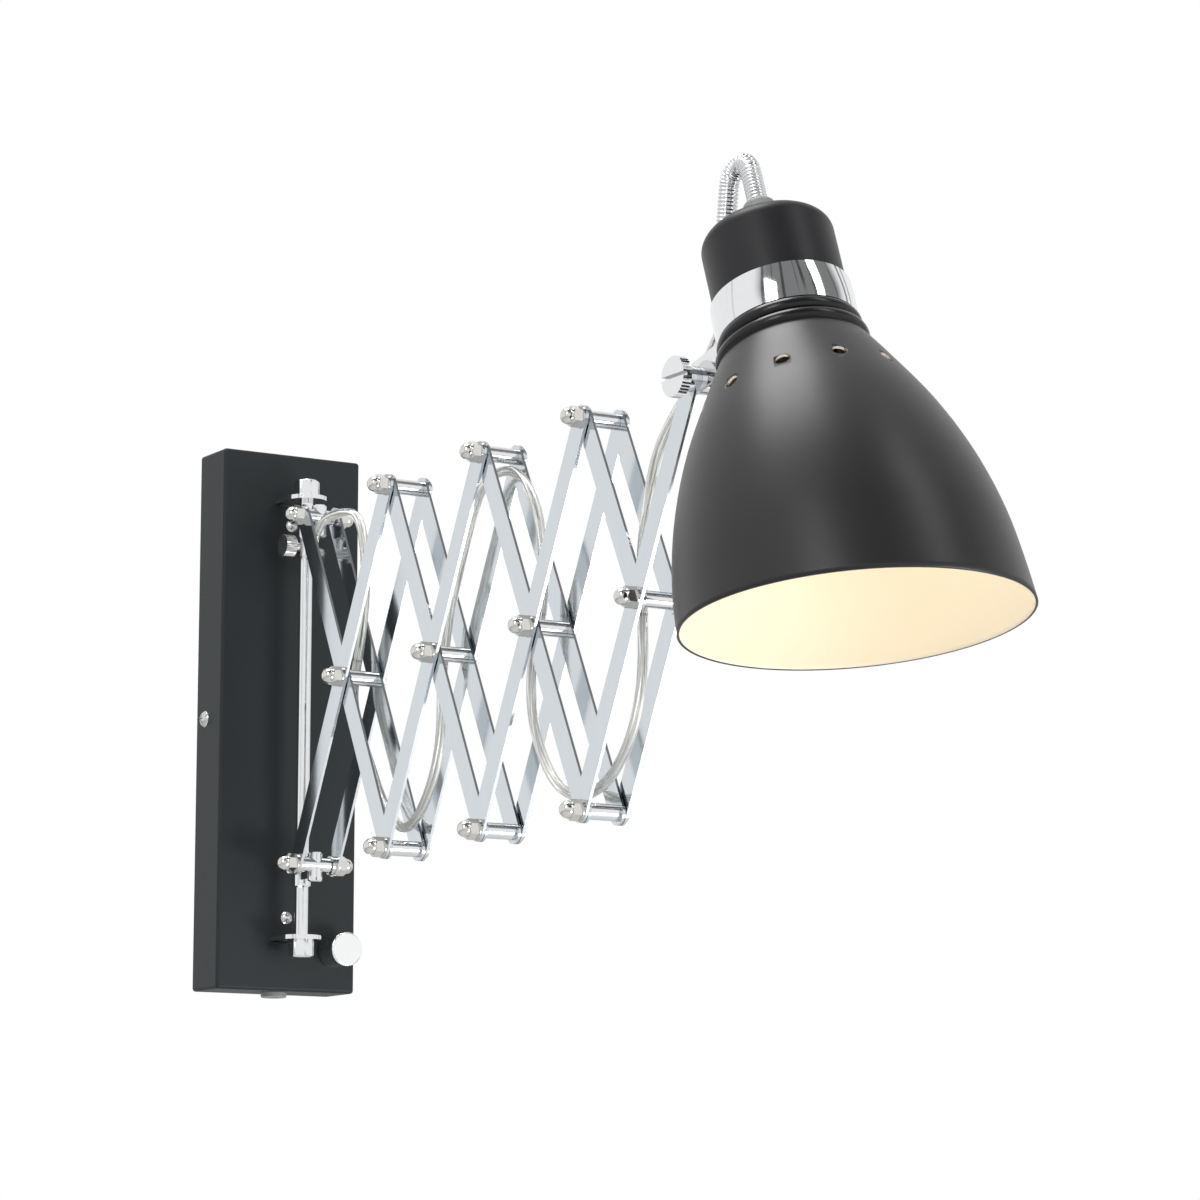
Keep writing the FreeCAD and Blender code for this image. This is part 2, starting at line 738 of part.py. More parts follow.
def make_cap():
    """Domed black cap over the lampholder."""
    r = cap_radius
    t = cap_wall
    shoulder = cap_height - cap_side_height
    flat = r - shoulder
    diagonal = shoulder * math.sqrt(0.5)
    outer_mid = (flat + diagonal, cap_side_height + diagonal)
    inner_mid = (flat + diagonal * (shoulder - t) / shoulder,
                 cap_side_height + diagonal * (shoulder - t) / shoulder)
    hole = grommet_neck_radius + running_clearance
    cap = revolve_edges([
        edge((r - t, 0), (r, 0)),
        edge((r, 0), (r, cap_side_height)),
        bow((r, cap_side_height), outer_mid, (flat, cap_height)),
        edge((flat, cap_height), (hole, cap_height)),
        edge((hole, cap_height), (hole, cap_height - t)),
        edge((hole, cap_height - t), (flat, cap_height - t)),
        bow((flat, cap_height - t), inner_mid, (r - t, cap_side_height)),
        edge((r - t, cap_side_height), (r - t, 0)),
    ])
    keep_head("neck_cap", cap)


def make_band():
    """Polished band under the cap, with a collar that the cap sits over."""
    r = band_radius
    collar = cap_radius - cap_wall - collar_play
    inner = collar - band_wall
    band = revolve_edges([
        edge((inner, -band_height), (r - band_swell, -band_height)),
        bow((r - band_swell, -band_height), (r, -band_height / 2), (r - band_swell / 2, 0)),
        edge((r - band_swell / 2, 0), (collar, 0)),
        edge((collar, 0), (collar, collar_height)),
        edge((collar, collar_height), (inner, collar_height)),
        edge((inner, collar_height), (inner, -band_height)),
    ])
    keep_head("neck_band", band)


def make_bead_ring():
    """Black ring of two beads between the band and the shade."""
    top = -band_height
    groove = top - ring_upper_height
    bottom = groove - ring_lower_height
    r = ring_inner_radius
    upper = ring_upper_bead
    lower = ring_lower_bead
    neck = upper - ring_bead_depth
    foot = lower - ring_foot_set_in
    ring = revolve_edges([
        edge((r, top), (neck, top)),
        bow((neck, top), (upper, top - ring_upper_height / 2), (neck, groove)),
        bow((neck, groove), (lower, groove - ring_lower_height * 0.55), (foot, bottom)),
        edge((foot, bottom), (r, bottom)),
        edge((r, bottom), (r, top)),
    ])
    keep_head("bead_ring", ring)


def make_shade():
    """Thin spun bell, its mouth cut at a slant, with a ring of vent holes."""
    ring_bottom = -(band_height + ring_upper_height + ring_lower_height)
    seat = holder_radius + 1.0
    outer = [Vector(r, 0, h) for r, h in shade_outline]
    curve = Part.BSplineCurve()
    curve.interpolate(outer)
    skin = curve.toShape()
    inner = Part.BSplineCurve()
    first = outer[0]
    points = []
    for i, p in enumerate(outer):
        before = outer[max(i - 1, 0)]
        after = outer[min(i + 1, len(outer) - 1)]
        along = after.sub(before).normalize()
        points.append(Vector(p.x + along.z * shade_wall, 0, p.z - along.x * shade_wall))
    points[0] = Vector(first.x - shade_wall, 0, first.z - shade_wall)
    inner.interpolate(points)
    last = outer[-1]
    deep = points[-1]
    bell = revolve_edges([
        edge((seat, ring_bottom), (first.x, ring_bottom)),
        skin,
        edge((last.x, last.z), (deep.x, deep.z)),
        inner.toShape(),
        edge((points[0].x, points[0].z), (seat, points[0].z)),
        edge((seat, points[0].z), (seat, ring_bottom)),
    ])
    wide = 3 * last.x
    deep_cut = 2 * last.x
    mouth = Part.makeBox(wide, wide, deep_cut, Vector(-wide / 2, -wide / 2, -deep_cut))
    slant = Rotation(Vector(1, 0, 0), shade_mouth_tilt)
    mouth.Placement = Placement(Vector(0, 0, -shade_mouth_centre), slant)
    bell = bell.cut(mouth)
    for i in range(vent_count):
        angle = math.radians(vent_start + 360.0 * i / vent_count)
        away = Vector(math.cos(angle), math.sin(angle), vent_rise)
        away.normalize()
        middle = Vector(vent_circle_radius * math.cos(angle),
                        vent_circle_radius * math.sin(angle), -vent_level)
        reach = 3 * vent_radius
        bell = bell.cut(Part.makeCylinder(vent_radius, 2 * reach, middle.sub(away * reach), away))
    keep_head("shade", bell)


def make_lampholder():
    """Screw lampholder hung from the cap on a threaded nipple, and its lamp."""
    r = holder_radius
    t = holder_wall
    holder = revolve([
        (nipple_bore, holder_top), (nipple_bore, cap_height), (nipple_radius, cap_height),
        (nipple_radius, holder_top + 6), (12, holder_top + 3), (r, holder_top - 4),
        (r, holder_bottom), (r - t, holder_bottom), (r - t, holder_top - 8),
        (nipple_bore, holder_top - 8),
    ])
    keep_head("lampholder", holder)
    top = holder_top - 8 - bulb_play
    cap_end = top - bulb_cap_length
    widest = top - bulb_length + bulb_radius
    low = top - bulb_length
    shoulder = (bulb_neck_radius + bulb_shoulder_swell, cap_end - bulb_shoulder_drop)
    glass_mid = (bulb_radius * math.sqrt(0.5), widest - bulb_radius * math.sqrt(0.5))
    lamp = revolve_edges([
        edge((0, top), (6, top)),
        edge((6, top), (bulb_cap_radius, top - 5)),
        edge((bulb_cap_radius, top - 5), (bulb_cap_radius, cap_end)),
        edge((bulb_cap_radius, cap_end), (bulb_neck_radius, cap_end - 2)),
        bow((bulb_neck_radius, cap_end - 2), shoulder, (bulb_radius, widest)),
        bow((bulb_radius, widest), glass_mid, (0, low)),
        edge((0, low), (0, top)),
    ])
    keep_head("bulb", lamp)


def make_grommet():
    """Grey bush on the cap that holds the metal hose."""
    r = grommet_radius
    outer = revolve_edges([
        edge((hose_radius + cable_play, cap_height - grommet_neck_depth),
             (grommet_neck_radius, cap_height - grommet_neck_depth)),
        edge((grommet_neck_radius, cap_height - grommet_neck_depth),
             (grommet_neck_radius, cap_height)),
        edge((grommet_neck_radius, cap_height), (r, cap_height)),
        edge((r, cap_height), (r, grommet_top - grommet_round)),
        bow((r, grommet_top - grommet_round),
            (r - grommet_round * 0.3, grommet_top - grommet_round * 0.3),
            (r - grommet_round, grommet_top)),
        edge((r - grommet_round, grommet_top), (hose_radius + cable_play, grommet_top)),
        edge((hose_radius + cable_play, grommet_top),
             (hose_radius + cable_play, cap_height - grommet_neck_depth)),
    ])
    keep_head("cap_grommet", outer)


def make_fork():
    """Bent strap: a pad on the band and two ears that hold the head's pivot."""
    x0 = half_gap + side_gap
    x1 = x0 + fork_sheet
    base = band_radius - fork_pad_depth
    mid_z = -band_height / 2
    half = fork_base_height / 2
    points = [
        Vector(x0, base, mid_z - half),
        Vector(x0, base + 8, mid_z - half),
        Vector(x0, pivot_y, pivot_z - fork_end_radius),
        Vector(x0, pivot_y + fork_end_radius, pivot_z),
        Vector(x0, pivot_y, pivot_z + fork_end_radius),
        Vector(x0, base + 8, mid_z + half),
        Vector(x0, base, mid_z + half),
    ]
    edges = [
        Part.LineSegment(points[0], points[1]).toShape(),
        Part.LineSegment(points[1], points[2]).toShape(),
        Part.Arc(points[2], points[3], points[4]).toShape(),
        Part.LineSegment(points[4], points[5]).toShape(),
        Part.LineSegment(points[5], points[6]).toShape(),
        Part.LineSegment(points[6], points[0]).toShape(),
    ]
    ear = Part.Face(Part.Wire(edges)).extrude(Vector(fork_sheet, 0, 0))
    pad = box(-x1, x1, base, band_radius + fork_sheet, mid_z - half, mid_z + half)
    fork = ear.fuse(mirror_x(ear)).fuse(pad)
    fork = fork.cut(rod_z(band_radius + 0.05, -band_height - 5, 5, 0, 0))
    fork = fork.cut(rod_x(hole_radius, -x1 - 1, x1 + 1, pivot_y, pivot_z))
    keep_head("head_fork", fork.removeSplitter())
    spacer = tube_x(head_spacer_radius, hole_radius, -half_gap, half_gap, pivot_y, pivot_z)
    keep_head("head_spacer", spacer)


def make_thumb_screw():
    """Knurled, slotted thumb screw that locks the head, with its nut."""
    y = head_y
    z = head_z
    hub_end = -(outer_face_x + side_gap + thumb_hub_length)
    wheel_end = hub_end - thumb_wheel_thickness
    hub = rod_x(thumb_hub_radius, hub_end, -outer_face_x - side_gap, y, z)
    wheel = knurled(thumb_wheel_radius, wheel_end, hub_end, y, z, thumb_knurls)
    half = thumb_slot_width / 2
    reach = thumb_wheel_radius + 1
    slot = box(wheel_end - 1, wheel_end + thumb_slot_depth, y - reach, y + reach,
               z - half, z + half)
    tip = outer_nut_x + nut_height - nut_crown - 0.4
    shank = rod_x(pin_radius, hub_end, tip, y, z)
    screw = hub.fuse(wheel).fuse(shank).removeSplitter().cut(slot)
    keep("head_thumb_screw", screw)
    nut = mirror_x(acorn_nut(outer_nut_x, y, z))
    washer = tube_x(outer_washer_radius, hole_radius, outer_face_x, outer_nut_x, y, z)
    keep("head_pivot_nut", [nut, washer])


# ---- tubes along a route --------------------------------------------------
def rounded_route(points):
    """Straight runs joined by arcs as large as the two runs beside them allow."""
    pieces = []
    radii = []
    start = points[0]
    for i in range(1, len(points) - 1):
        before = points[i - 1].sub(points[i])
        after = points[i + 1].sub(points[i])
        shorter = min(before.Length, after.Length)
        half_turn = (math.pi - before.getAngle(after)) / 2
        reach = 0.45 * shorter
        radii.append(reach / math.tan(half_turn))
        into = points[i] + before.normalize() * reach
        out = points[i] + after.normalize() * reach
        inward = (before + after).normalize()
        gap = radii[-1] / math.cos(half_turn) - radii[-1]
        pieces.append(("line", start, into))
        pieces.append(("arc", into, points[i] + inward * gap, out))
        start = out
    pieces.append(("line", start, points[-1]))
    return pieces, radii


def tube_along(pieces, outer, inner):
    """Solid round tube along a run of lines and arcs."""
    edges = []
    length = 0.0
    for piece in pieces:
        if piece[0] == "line":
            e = Part.LineSegment(piece[1], piece[2]).toShape()
        else:
            e = Part.Arc(piece[1], piece[2], piece[3]).toShape()
        length += e.Length
        edges.append(e)
    path = Part.Wire(edges)
    first = edges[0]
    heading = first.tangentAt(first.FirstParameter)
    at = first.valueAt(first.FirstParameter)
    disc = Part.Wire(Part.makeCircle(outer, at, heading))
    tube = path.makePipeShell([disc], True, False)
    area = math.pi * outer ** 2
    if inner > 0:
        disc = Part.Wire(Part.makeCircle(inner, at, heading))
        tube = tube.cut(path.makePipeShell([disc], True, False))
        area -= math.pi * inner ** 2
    return tube, length, area


def make_hose():
    """Ribbed metal hose that carries the cable over the top of the cap."""
    turn = math.radians(hose_bend_turn)
    r = hose_bend_radius
    start = Vector(0, 0, hose_start)
    lift = Vector(0, 0, hose_start + hose_straight)
    centre = lift + Vector(0, r, 0)

    def on_bend(angle):
        return centre + Vector(0, -r * math.cos(angle), r * math.sin(angle))

    bend_end = on_bend(turn)
    heading = Vector(0, math.sin(turn), math.cos(turn))
    end = bend_end + heading * hose_drop
    bore_path = [
        ("line", start, lift),
        ("arc", lift, on_bend(turn / 2), bend_end),
        ("line", bend_end, end),
    ]

    def section(s, radius):
        """Circle of the given radius square to the path, s along it."""
        if s <= hose_straight:
            at, along = start + Vector(0, 0, s), Vector(0, 0, 1)
        elif s <= hose_straight + r * turn:
            angle = (s - hose_straight) / r
            at, along = on_bend(angle), Vector(0, math.sin(angle), math.cos(angle))
        else:
            at, along = bend_end + heading * (s - hose_straight - r * turn), heading
        circle = Part.Circle(Vector(0, 0, 0), Vector(0, 0, 1), radius).toShape()
        side = Vector(1, 0, 0)
        circle.Placement = Placement(at, Rotation(side, along.cross(side), along, "ZXY"))
        return Part.Wire(circle)

    whole = hose_straight + r * turn + hose_drop
    count = round(whole / hose_rib_pitch)
    pitch = whole / (count - 0.2)
    valley = hose_radius - hose_rib_depth
    rings = []
    for i in range(count):
        s = i * pitch
        rings.append(section(s, valley))
        rings.append(section(s + 0.2 * pitch, hose_radius))
        rings.append(section(s + 0.6 * pitch, hose_radius))
        rings.append(section(s + 0.8 * pitch, valley))
    hose = Part.makeLoft(rings, True, True)
    bore, length, area = tube_along(bore_path, hose_bore, 0)
    hose = hose.cut(bore)
    print("metal hose", round(length, 1), "mm,", count, "ribs, volume", round(hose.Volume))
    keep_head("cable_hose", hose)
    return head_place.multVec(end), head_place.Rotation.multVec(heading)


# ---- cable ----------------------------------------------------------------
# The points are the places of the cable's centre on its way from the box to the
# head. Each group lies on the link that carries it, and a group ends in the
# middle of the run to the next group.
cable_groups = {
    "cable_loop": [
        (15, -33, 100), (14, -46, 99.5), (9, -58, 97), (2, -70, 95.5), (-5, -80, 99),
        (-2, -86, 109), (6, -86, 118), (15, -86, 119), (18, -92, 109), (14, -98, 96),
    ],
    "cable_on_link_1": [
        (7, -101, 82), (4, -101, 62), (4, -102, 42), (4, -107, 20), (4, -119, -6),
        (4, -133, -32), (3, -147, -57), (1, -160, -74),
    ],
    "cable_on_link_2": [
        (0, -174, -80.5), (0, -189, -70), (0, -200, -52), (0, -208, -30), (0, -213, -8),
        (0, -215, 14), (0, -222, 34), (0, -234, 54), (0, -247, 76), (0, -259, 95),
        (0, -268, 105),
    ],
    "cable_on_link_3": [
        (0, -280.5, 108.8), (0, -294, 103), (0, -305, 90), (0, -313, 70), (0, -317.5, 46),
        (0, -319, 20), (0, -321, -6), (0, -326, -32), (0, -339, -54), (0, -357, -71),
    ],
    "cable_on_link_4": [
        (0, -379, -80.5), (0, -397, -76), (0, -411, -61), (0, -421, -40), (0, -427, -16),
        (0, -429.5, 9), (0, -434, 34), (0, -441.5, 60), (0, -452, 84), (0, -463, 107),
    ],
    "cable_on_head": [
        (0, -473, 127), (0, -486, 143), (0, -497, 157),
    ],
}


def make_cable(hose_end, hose_heading):
    """Whole cable cut into the lengths that ride on each link."""
    points = []
    owner = []
    for name, group in cable_groups.items():
        for x, y, z in group:
            points.append(Vector(x, y, z))
            owner.append(name)
    inside = hose_end.sub(hose_heading * cable_in_hose)
    points.append(hose_end + hose_heading * 1.5)
    points.append(inside)
    owner.extend(["cable_on_head", "cable_on_head"])
    pieces, radii = rounded_route(points)
    print("cable radii", [round(r, 1) for r in radii])
    groups = {name: [] for name in cable_groups}
    point = 0
    total = 0.0
    for piece in pieces:
        if piece[0] == "arc":
            point += 1
            groups[owner[point]].append(piece)
            continue
        left = owner[point]
        right = owner[min(point + 1, len(owner) - 1)]
        if left == right:
            groups[left].append(piece)
            continue
        half = (piece[1] + piece[2]) * 0.5
        groups[left].append(("line", piece[1], half))
        groups[right].append(("line", half, piece[2]))
    for name, run in groups.items():
        tube, length, area = tube_along(run, cable_radius, 0)
        total += length
        print(name, round(length, 1), "mm, volume ratio", round(tube.Volume / (area * length), 4))
        keep(name, tube)
    print("cable length", round(total, 1))


make_cover()
make_wall_bracket()
make_cover_screws()
make_rod_brackets()
make_rod()
make_rod_nuts()
make_sleeves()
make_rising_links()
make_falling_links()
make_knob()
make_terminal_block()
make_bushes()
make_cap()
make_band()
make_bead_ring()
make_shade()
make_lampholder()
make_grommet()
make_fork()
make_thumb_screw()
make_cable(*make_hose())

print(len(nodes), "nodes")
for name, shape in nodes.items():
    if not shape.isValid():
        print("invalid", name)
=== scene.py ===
# %% [markdown]
# # An accordion wall lamp
# A black box on the wall carries an upright rod. A scissor arm of flat plated
# strips slides and turns on the rod, and holds a spun black shade at its far end.
# Most rigid pieces keep the shapes of the CAD frame and get their finishes here.
# This lesson builds the pieces that the solid model shows too plainly: the ends of
# the rod, its two sleeves, the cap, the clear cable, the ribbed metal hose, and the
# thin shade with its light inside.

# %% Load the CAD frame
import math

import bmesh
import bpy
from mathutils import Matrix, Vector


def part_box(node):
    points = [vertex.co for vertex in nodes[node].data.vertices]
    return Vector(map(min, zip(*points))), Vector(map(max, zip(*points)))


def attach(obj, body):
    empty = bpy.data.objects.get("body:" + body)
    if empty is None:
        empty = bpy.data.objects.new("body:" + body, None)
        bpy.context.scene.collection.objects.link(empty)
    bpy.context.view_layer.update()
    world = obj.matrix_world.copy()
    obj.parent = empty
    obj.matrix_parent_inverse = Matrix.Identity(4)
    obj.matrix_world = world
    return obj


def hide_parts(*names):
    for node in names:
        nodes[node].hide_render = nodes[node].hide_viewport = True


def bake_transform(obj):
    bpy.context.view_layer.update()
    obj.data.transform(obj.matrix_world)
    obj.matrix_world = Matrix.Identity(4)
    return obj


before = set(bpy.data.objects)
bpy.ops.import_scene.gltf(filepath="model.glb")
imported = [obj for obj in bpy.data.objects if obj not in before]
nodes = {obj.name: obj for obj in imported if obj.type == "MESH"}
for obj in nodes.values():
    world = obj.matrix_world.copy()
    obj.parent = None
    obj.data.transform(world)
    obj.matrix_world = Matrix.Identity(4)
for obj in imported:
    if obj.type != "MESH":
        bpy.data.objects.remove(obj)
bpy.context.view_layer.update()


# %% [markdown]
# ## The camera
# The photograph was taken from the left of the lamp and from below it, through a
# long lens. A camera is a place, a direction and a focal length. The direction is
# given here as a turn about the upright (yaw) and a rise above the level (pitch),
# because those two are easy to read and to correct one at a time.

# %% Camera
camera_place = Vector((-1.053654, -2.117895, -0.318230))
camera_yaw = 0.54643892
camera_pitch = 0.16607888
camera_roll = 0.00053508
camera_lens = 119.11

ahead = Vector((math.sin(camera_yaw) * math.cos(camera_pitch),
                math.cos(camera_yaw) * math.cos(camera_pitch), math.sin(camera_pitch)))
right = Vector((math.cos(camera_yaw), -math.sin(camera_yaw), 0))
up = right.cross(ahead)
right, up = (right * math.cos(camera_roll) + up * math.sin(camera_roll),
             up * math.cos(camera_roll) - right * math.sin(camera_roll))
lens = bpy.data.cameras.new("camera")
lens.lens = camera_lens
lens.sensor_width = 36
lens.clip_end = 50
camera = bpy.data.objects.new("camera", lens)
camera.location = camera_place
camera.rotation_euler = Matrix((right, up, -ahead)).transposed().to_euler()
bpy.context.collection.objects.link(camera)
bpy.context.scene.camera = camera
bpy.context.scene.view_settings.view_transform = "Standard"
print("camera looks along", [round(value, 3) for value in ahead])

# %% [markdown]
# ## The studio
# Bright metal has no colour of its own: it shows the room. Light Path tells the
# world which kind of ray has reached it, so the camera and the clear cable see a
# white background while the light that falls on the lamp stays at a plain level.
# Polished pieces see the room as well: white walls, a darker ceiling in front of
# the wall, and a few dark posts. Without them chrome would look like white paint.

# %% World and floor
background_white = 1.0
fill_level = 0.50
front_starts, front_full = 0.0, -0.30
ceiling_dark = 0.76
ceiling_starts, ceiling_full = 0.36, 0.56
post_dark = 0.70
post_scale = 5.0
post_edge, post_core = 0.58, 0.62
posts_end_behind, posts_end_ahead = (0.75, 0.40), (-0.80, -0.65)

world = bpy.data.worlds.new("studio")
bpy.context.scene.world = world
world.use_nodes = True
tree = world.node_tree
tree.nodes.clear()


def world_node(kind, **values):
    """Node of the world's tree with its settings."""
    node = tree.nodes.new(kind)
    for title, value in values.items():
        setattr(node, title, value)
    return node


def world_math(operation, first, second):
    """Sum, product or other operation on two sockets or numbers."""
    node = world_node("ShaderNodeMath", operation=operation)
    for socket, source in zip(node.inputs, (first, second)):
        if isinstance(source, bpy.types.NodeSocket):
            tree.links.new(source, socket)
        else:
            socket.default_value = source
    return node.outputs[0]


def world_ramp(source, low, high):
    """0 at the low value and 1 at the high one, smooth between."""
    node = world_node("ShaderNodeMapRange", interpolation_type="SMOOTHSTEP")
    node.inputs["From Min"].default_value = low
    node.inputs["From Max"].default_value = high
    tree.links.new(source, node.inputs["Value"])
    return node.outputs["Result"]


rays = world_node("ShaderNodeLightPath")
heading = world_node("ShaderNodeTexCoord")
part = world_node("ShaderNodeSeparateXYZ")
tree.links.new(heading.outputs["Generated"], part.inputs[0])
in_front = world_ramp(part.outputs["Y"], front_starts, front_full)
ceiling = world_math("MULTIPLY", in_front, world_ramp(part.outputs["Z"], ceiling_starts,
                                                     ceiling_full))
round_room = world_math("ARCTAN2", part.outputs["X"], part.outputs["Y"])
post_noise = world_node("ShaderNodeTexNoise", noise_dimensions="1D")
post_noise.inputs["Scale"].default_value = post_scale
post_noise.inputs["Detail"].default_value = 1.0
tree.links.new(round_room, post_noise.inputs["W"])
aside = world_math("MULTIPLY", world_ramp(part.outputs["Y"], *posts_end_behind),
                   world_ramp(part.outputs["Y"], *posts_end_ahead))
posts = world_math("MULTIPLY", world_ramp(post_noise.outputs["Fac"], post_edge, post_core), aside)
under_ceiling = world_math("SUBTRACT", 1.0, world_math("MULTIPLY", ceiling, ceiling_dark))
between_posts = world_math("SUBTRACT", 1.0, world_math("MULTIPLY", posts, post_dark))
shade_of_room = world_math("MULTIPLY", under_ceiling, between_posts)
mirrored = world_math("MULTIPLY", rays.outputs["Is Glossy Ray"],
                      world_math("SUBTRACT", 1.0, shade_of_room))
white = world_node("ShaderNodeBackground")
tree.links.new(world_math("SUBTRACT", background_white, mirrored), white.inputs["Strength"])
white.inputs["Color"].default_value = (1, 1, 1, 1)
soft = world_node("ShaderNodeBackground")
soft.inputs["Color"].default_value = (0.97, 0.985, 1.0, 1)
soft.inputs["Strength"].default_value = fill_level
seen = world_math("MAXIMUM", world_math("MAXIMUM", rays.outputs["Is Camera Ray"],
                                        rays.outputs["Is Glossy Ray"]),
                  rays.outputs["Is Transmission Ray"])
choose = world_node("ShaderNodeMixShader")
world_out = world_node("ShaderNodeOutputWorld")
tree.links.new(seen, choose.inputs["Fac"])
tree.links.new(soft.outputs[0], choose.inputs[1])
tree.links.new(white.outputs[0], choose.inputs[2])
tree.links.new(choose.outputs[0], world_out.inputs["Surface"])

floor_level = -0.9
floor_size = 8.0
floor_mesh = bpy.data.meshes.new("floor")
half = floor_size / 2
floor_mesh.from_pydata([(-half, -half, floor_level), (half, -half, floor_level),
                        (half, half, floor_level), (-half, half, floor_level)], [], [(0, 1, 2, 3)])
floor = bpy.data.objects.new("floor", floor_mesh)
bpy.context.collection.objects.link(floor)
print("floor at", floor_level, "m")

# %% [markdown]
# ## The lamps of the studio
# Each lamp is a large rectangle. A large lamp gives a soft edge to every shadow and
# a broad streak on the rod and the strips. The strongest hangs above the head and a
# little behind it, where it puts the long soft light on the shade's shoulder. One
# stands high on the left, one low on the right, and a narrow one up in front.

# %% Studio lamps
def softbox(name, place, aim, width, height, watts):
    """Rectangular lamp at a place, turned towards the point it lights."""
    light = bpy.data.lights.new(name, "AREA")
    light.shape = "RECTANGLE"
    light.size = width
    light.size_y = height
    light.energy = watts
    lamp = bpy.data.objects.new(name, light)
    lamp.location = place
    lamp.rotation_euler = (Vector(aim) - Vector(place)).to_track_quat("-Z", "Y").to_euler()
    bpy.context.collection.objects.link(lamp)
    print("lamp", name, watts, "W")


softbox("left_lamp", (-1.9, -1.7, 1.3), (0, -0.35, 0), 0.7, 1.2, 15)
softbox("right_lamp", (0.70, -1.40, -0.85), (0.02, -0.05, -0.2), 0.7, 0.7, 17)
softbox("front_lamp", (0.62, -1.50, 1.45), (0, -0.50, 0.1), 0.35, 0.9, 4)
softbox("top_lamp", (-0.36, -0.10, 1.75), (0, -0.50, 0.1), 0.9, 0.9, 20)

# %% [markdown]
# ## Finishes
# One helper starts every material: a Principled shader, and noise that moves its
# roughness and its surface a little. The noise reads Object coordinates, so it
# stays fixed to the metal when the arm moves, and it is written in metres: a scale
# of 400 gives specks of about 2.5 mm.

# %% A helper for finishes
def finish(name, colour, metallic, roughness, vary=0.0, scale=400.0, bump=0.0, stretch=(1, 1, 1),
           tone=0.0):
    """Material whose roughness, colour and height vary with noise on the object."""
    material = bpy.data.materials.new(name)
    material.use_nodes = True
    links = material.node_tree.links
    shader = material.node_tree.nodes["Principled BSDF"]
    shader.inputs["Base Color"].default_value = (*colour, 1)
    shader.inputs["Metallic"].default_value = metallic
    shader.inputs["Roughness"].default_value = roughness
    place = material.node_tree.nodes.new("ShaderNodeTexCoord")
    mapping = material.node_tree.nodes.new("ShaderNodeMapping")
    mapping.inputs["Scale"].default_value = stretch
    noise = material.node_tree.nodes.new("ShaderNodeTexNoise")
    noise.inputs["Scale"].default_value = scale
    noise.inputs["Detail"].default_value = 4
    links.new(place.outputs["Object"], mapping.inputs["Vector"])
    links.new(mapping.outputs["Vector"], noise.inputs["Vector"])
    if vary:
        spread = material.node_tree.nodes.new("ShaderNodeMapRange")
        spread.inputs["To Min"].default_value = max(roughness - vary, 0.02)
        spread.inputs["To Max"].default_value = roughness + vary
        links.new(noise.outputs["Fac"], spread.inputs["Value"])
        links.new(spread.outputs["Result"], shader.inputs["Roughness"])
    if tone:
        blend_tone = material.node_tree.nodes.new("ShaderNodeMix")
        blend_tone.data_type = "RGBA"
        blend_tone.inputs["A"].default_value = (*[c * (1 - tone) for c in colour], 1)
        blend_tone.inputs["B"].default_value = (*[min(c * (1 + tone), 1) for c in colour], 1)
        links.new(noise.outputs["Fac"], blend_tone.inputs["Factor"])
        links.new(blend_tone.outputs["Result"], shader.inputs["Base Color"])
    if bump:
        height = material.node_tree.nodes.new("ShaderNodeBump")
        height.inputs["Strength"].default_value = bump
        height.inputs["Distance"].default_value = 0.0002
        links.new(noise.outputs["Fac"], height.inputs["Height"])
        links.new(height.outputs["Normal"], shader.inputs["Normal"])
    return material


def dress(material, *names):
    """Give a CAD node's slots this material."""
    for name in names:
        for held in nodes[name].material_slots:
            held.link = "OBJECT"
            held.material = material
    print(material.name, "on", len(names), "nodes")


# %% [markdown]
# ### Black powder coat
# The box, the cap and the shade are all black, but not the same black. The box is
# powder coated, with a fine orange-peel surface and a soft sheen. The cap is a
# smoother satin. Small bumps break the highlight up as the real coat does.

# %% Black finishes
powder_coat = finish("powder_coat", (0.014, 0.018, 0.020), 0.0, 0.50, vary=0.05, scale=900,
                     bump=0.25, tone=0.10)
satin_cap = finish("satin_cap", (0.010, 0.010, 0.012), 0.0, 0.42, vary=0.05, scale=700, bump=0.08,
                   tone=0.08)
gloss_ring = finish("gloss_ring", (0.007, 0.007, 0.008), 0.0, 0.24, vary=0.04, scale=300)
for coat, sheen in ((powder_coat, 0.30), (satin_cap, 0.30), (gloss_ring, 0.35)):
    coat.node_tree.nodes["Principled BSDF"].inputs["Specular IOR Level"].default_value = sheen
dress(powder_coat, "wall_cover")
dress(gloss_ring, "bead_ring")

# %% [markdown]
# ### Bright metal
# Chrome is almost a mirror. The flat strips are rolled and plated, so they mirror a
# little less sharply, in fine lines along the steel. The domed nuts are nickel,
# which is warmer than chrome, and the clamp's wheel is a duller nickel. The dimmer's
# knob has the palest chrome, because the photograph shows it whiter than the rod.

# %% Metal finishes
chrome = finish("chrome", (0.78, 0.79, 0.80), 1.0, 0.07, vary=0.03, scale=250, tone=0.03)
strip_chrome = finish("plated_strip", (0.63, 0.67, 0.70), 1.0, 0.11, vary=0.04, scale=180,
                      tone=0.03, stretch=(1, 1, 0.15))
warm_nickel = finish("warm_nickel", (0.68, 0.67, 0.64), 1.0, 0.08, vary=0.03, scale=300, tone=0.05)
satin_nickel = finish("satin_nickel", (0.70, 0.69, 0.67), 1.0, 0.24, vary=0.06, scale=400,
                      tone=0.06)
zinc_steel = finish("zinc_steel", (0.55, 0.56, 0.57), 1.0, 0.35, vary=0.08, scale=200, bump=0.1,
                    tone=0.08)
knob_chrome = finish("knob_chrome", (0.90, 0.91, 0.91), 1.0, 0.12, vary=0.03, scale=400, tone=0.02)
screw_steel = finish("steel_screws", (0.62, 0.62, 0.61), 1.0, 0.22, vary=0.06, scale=350, tone=0.05)

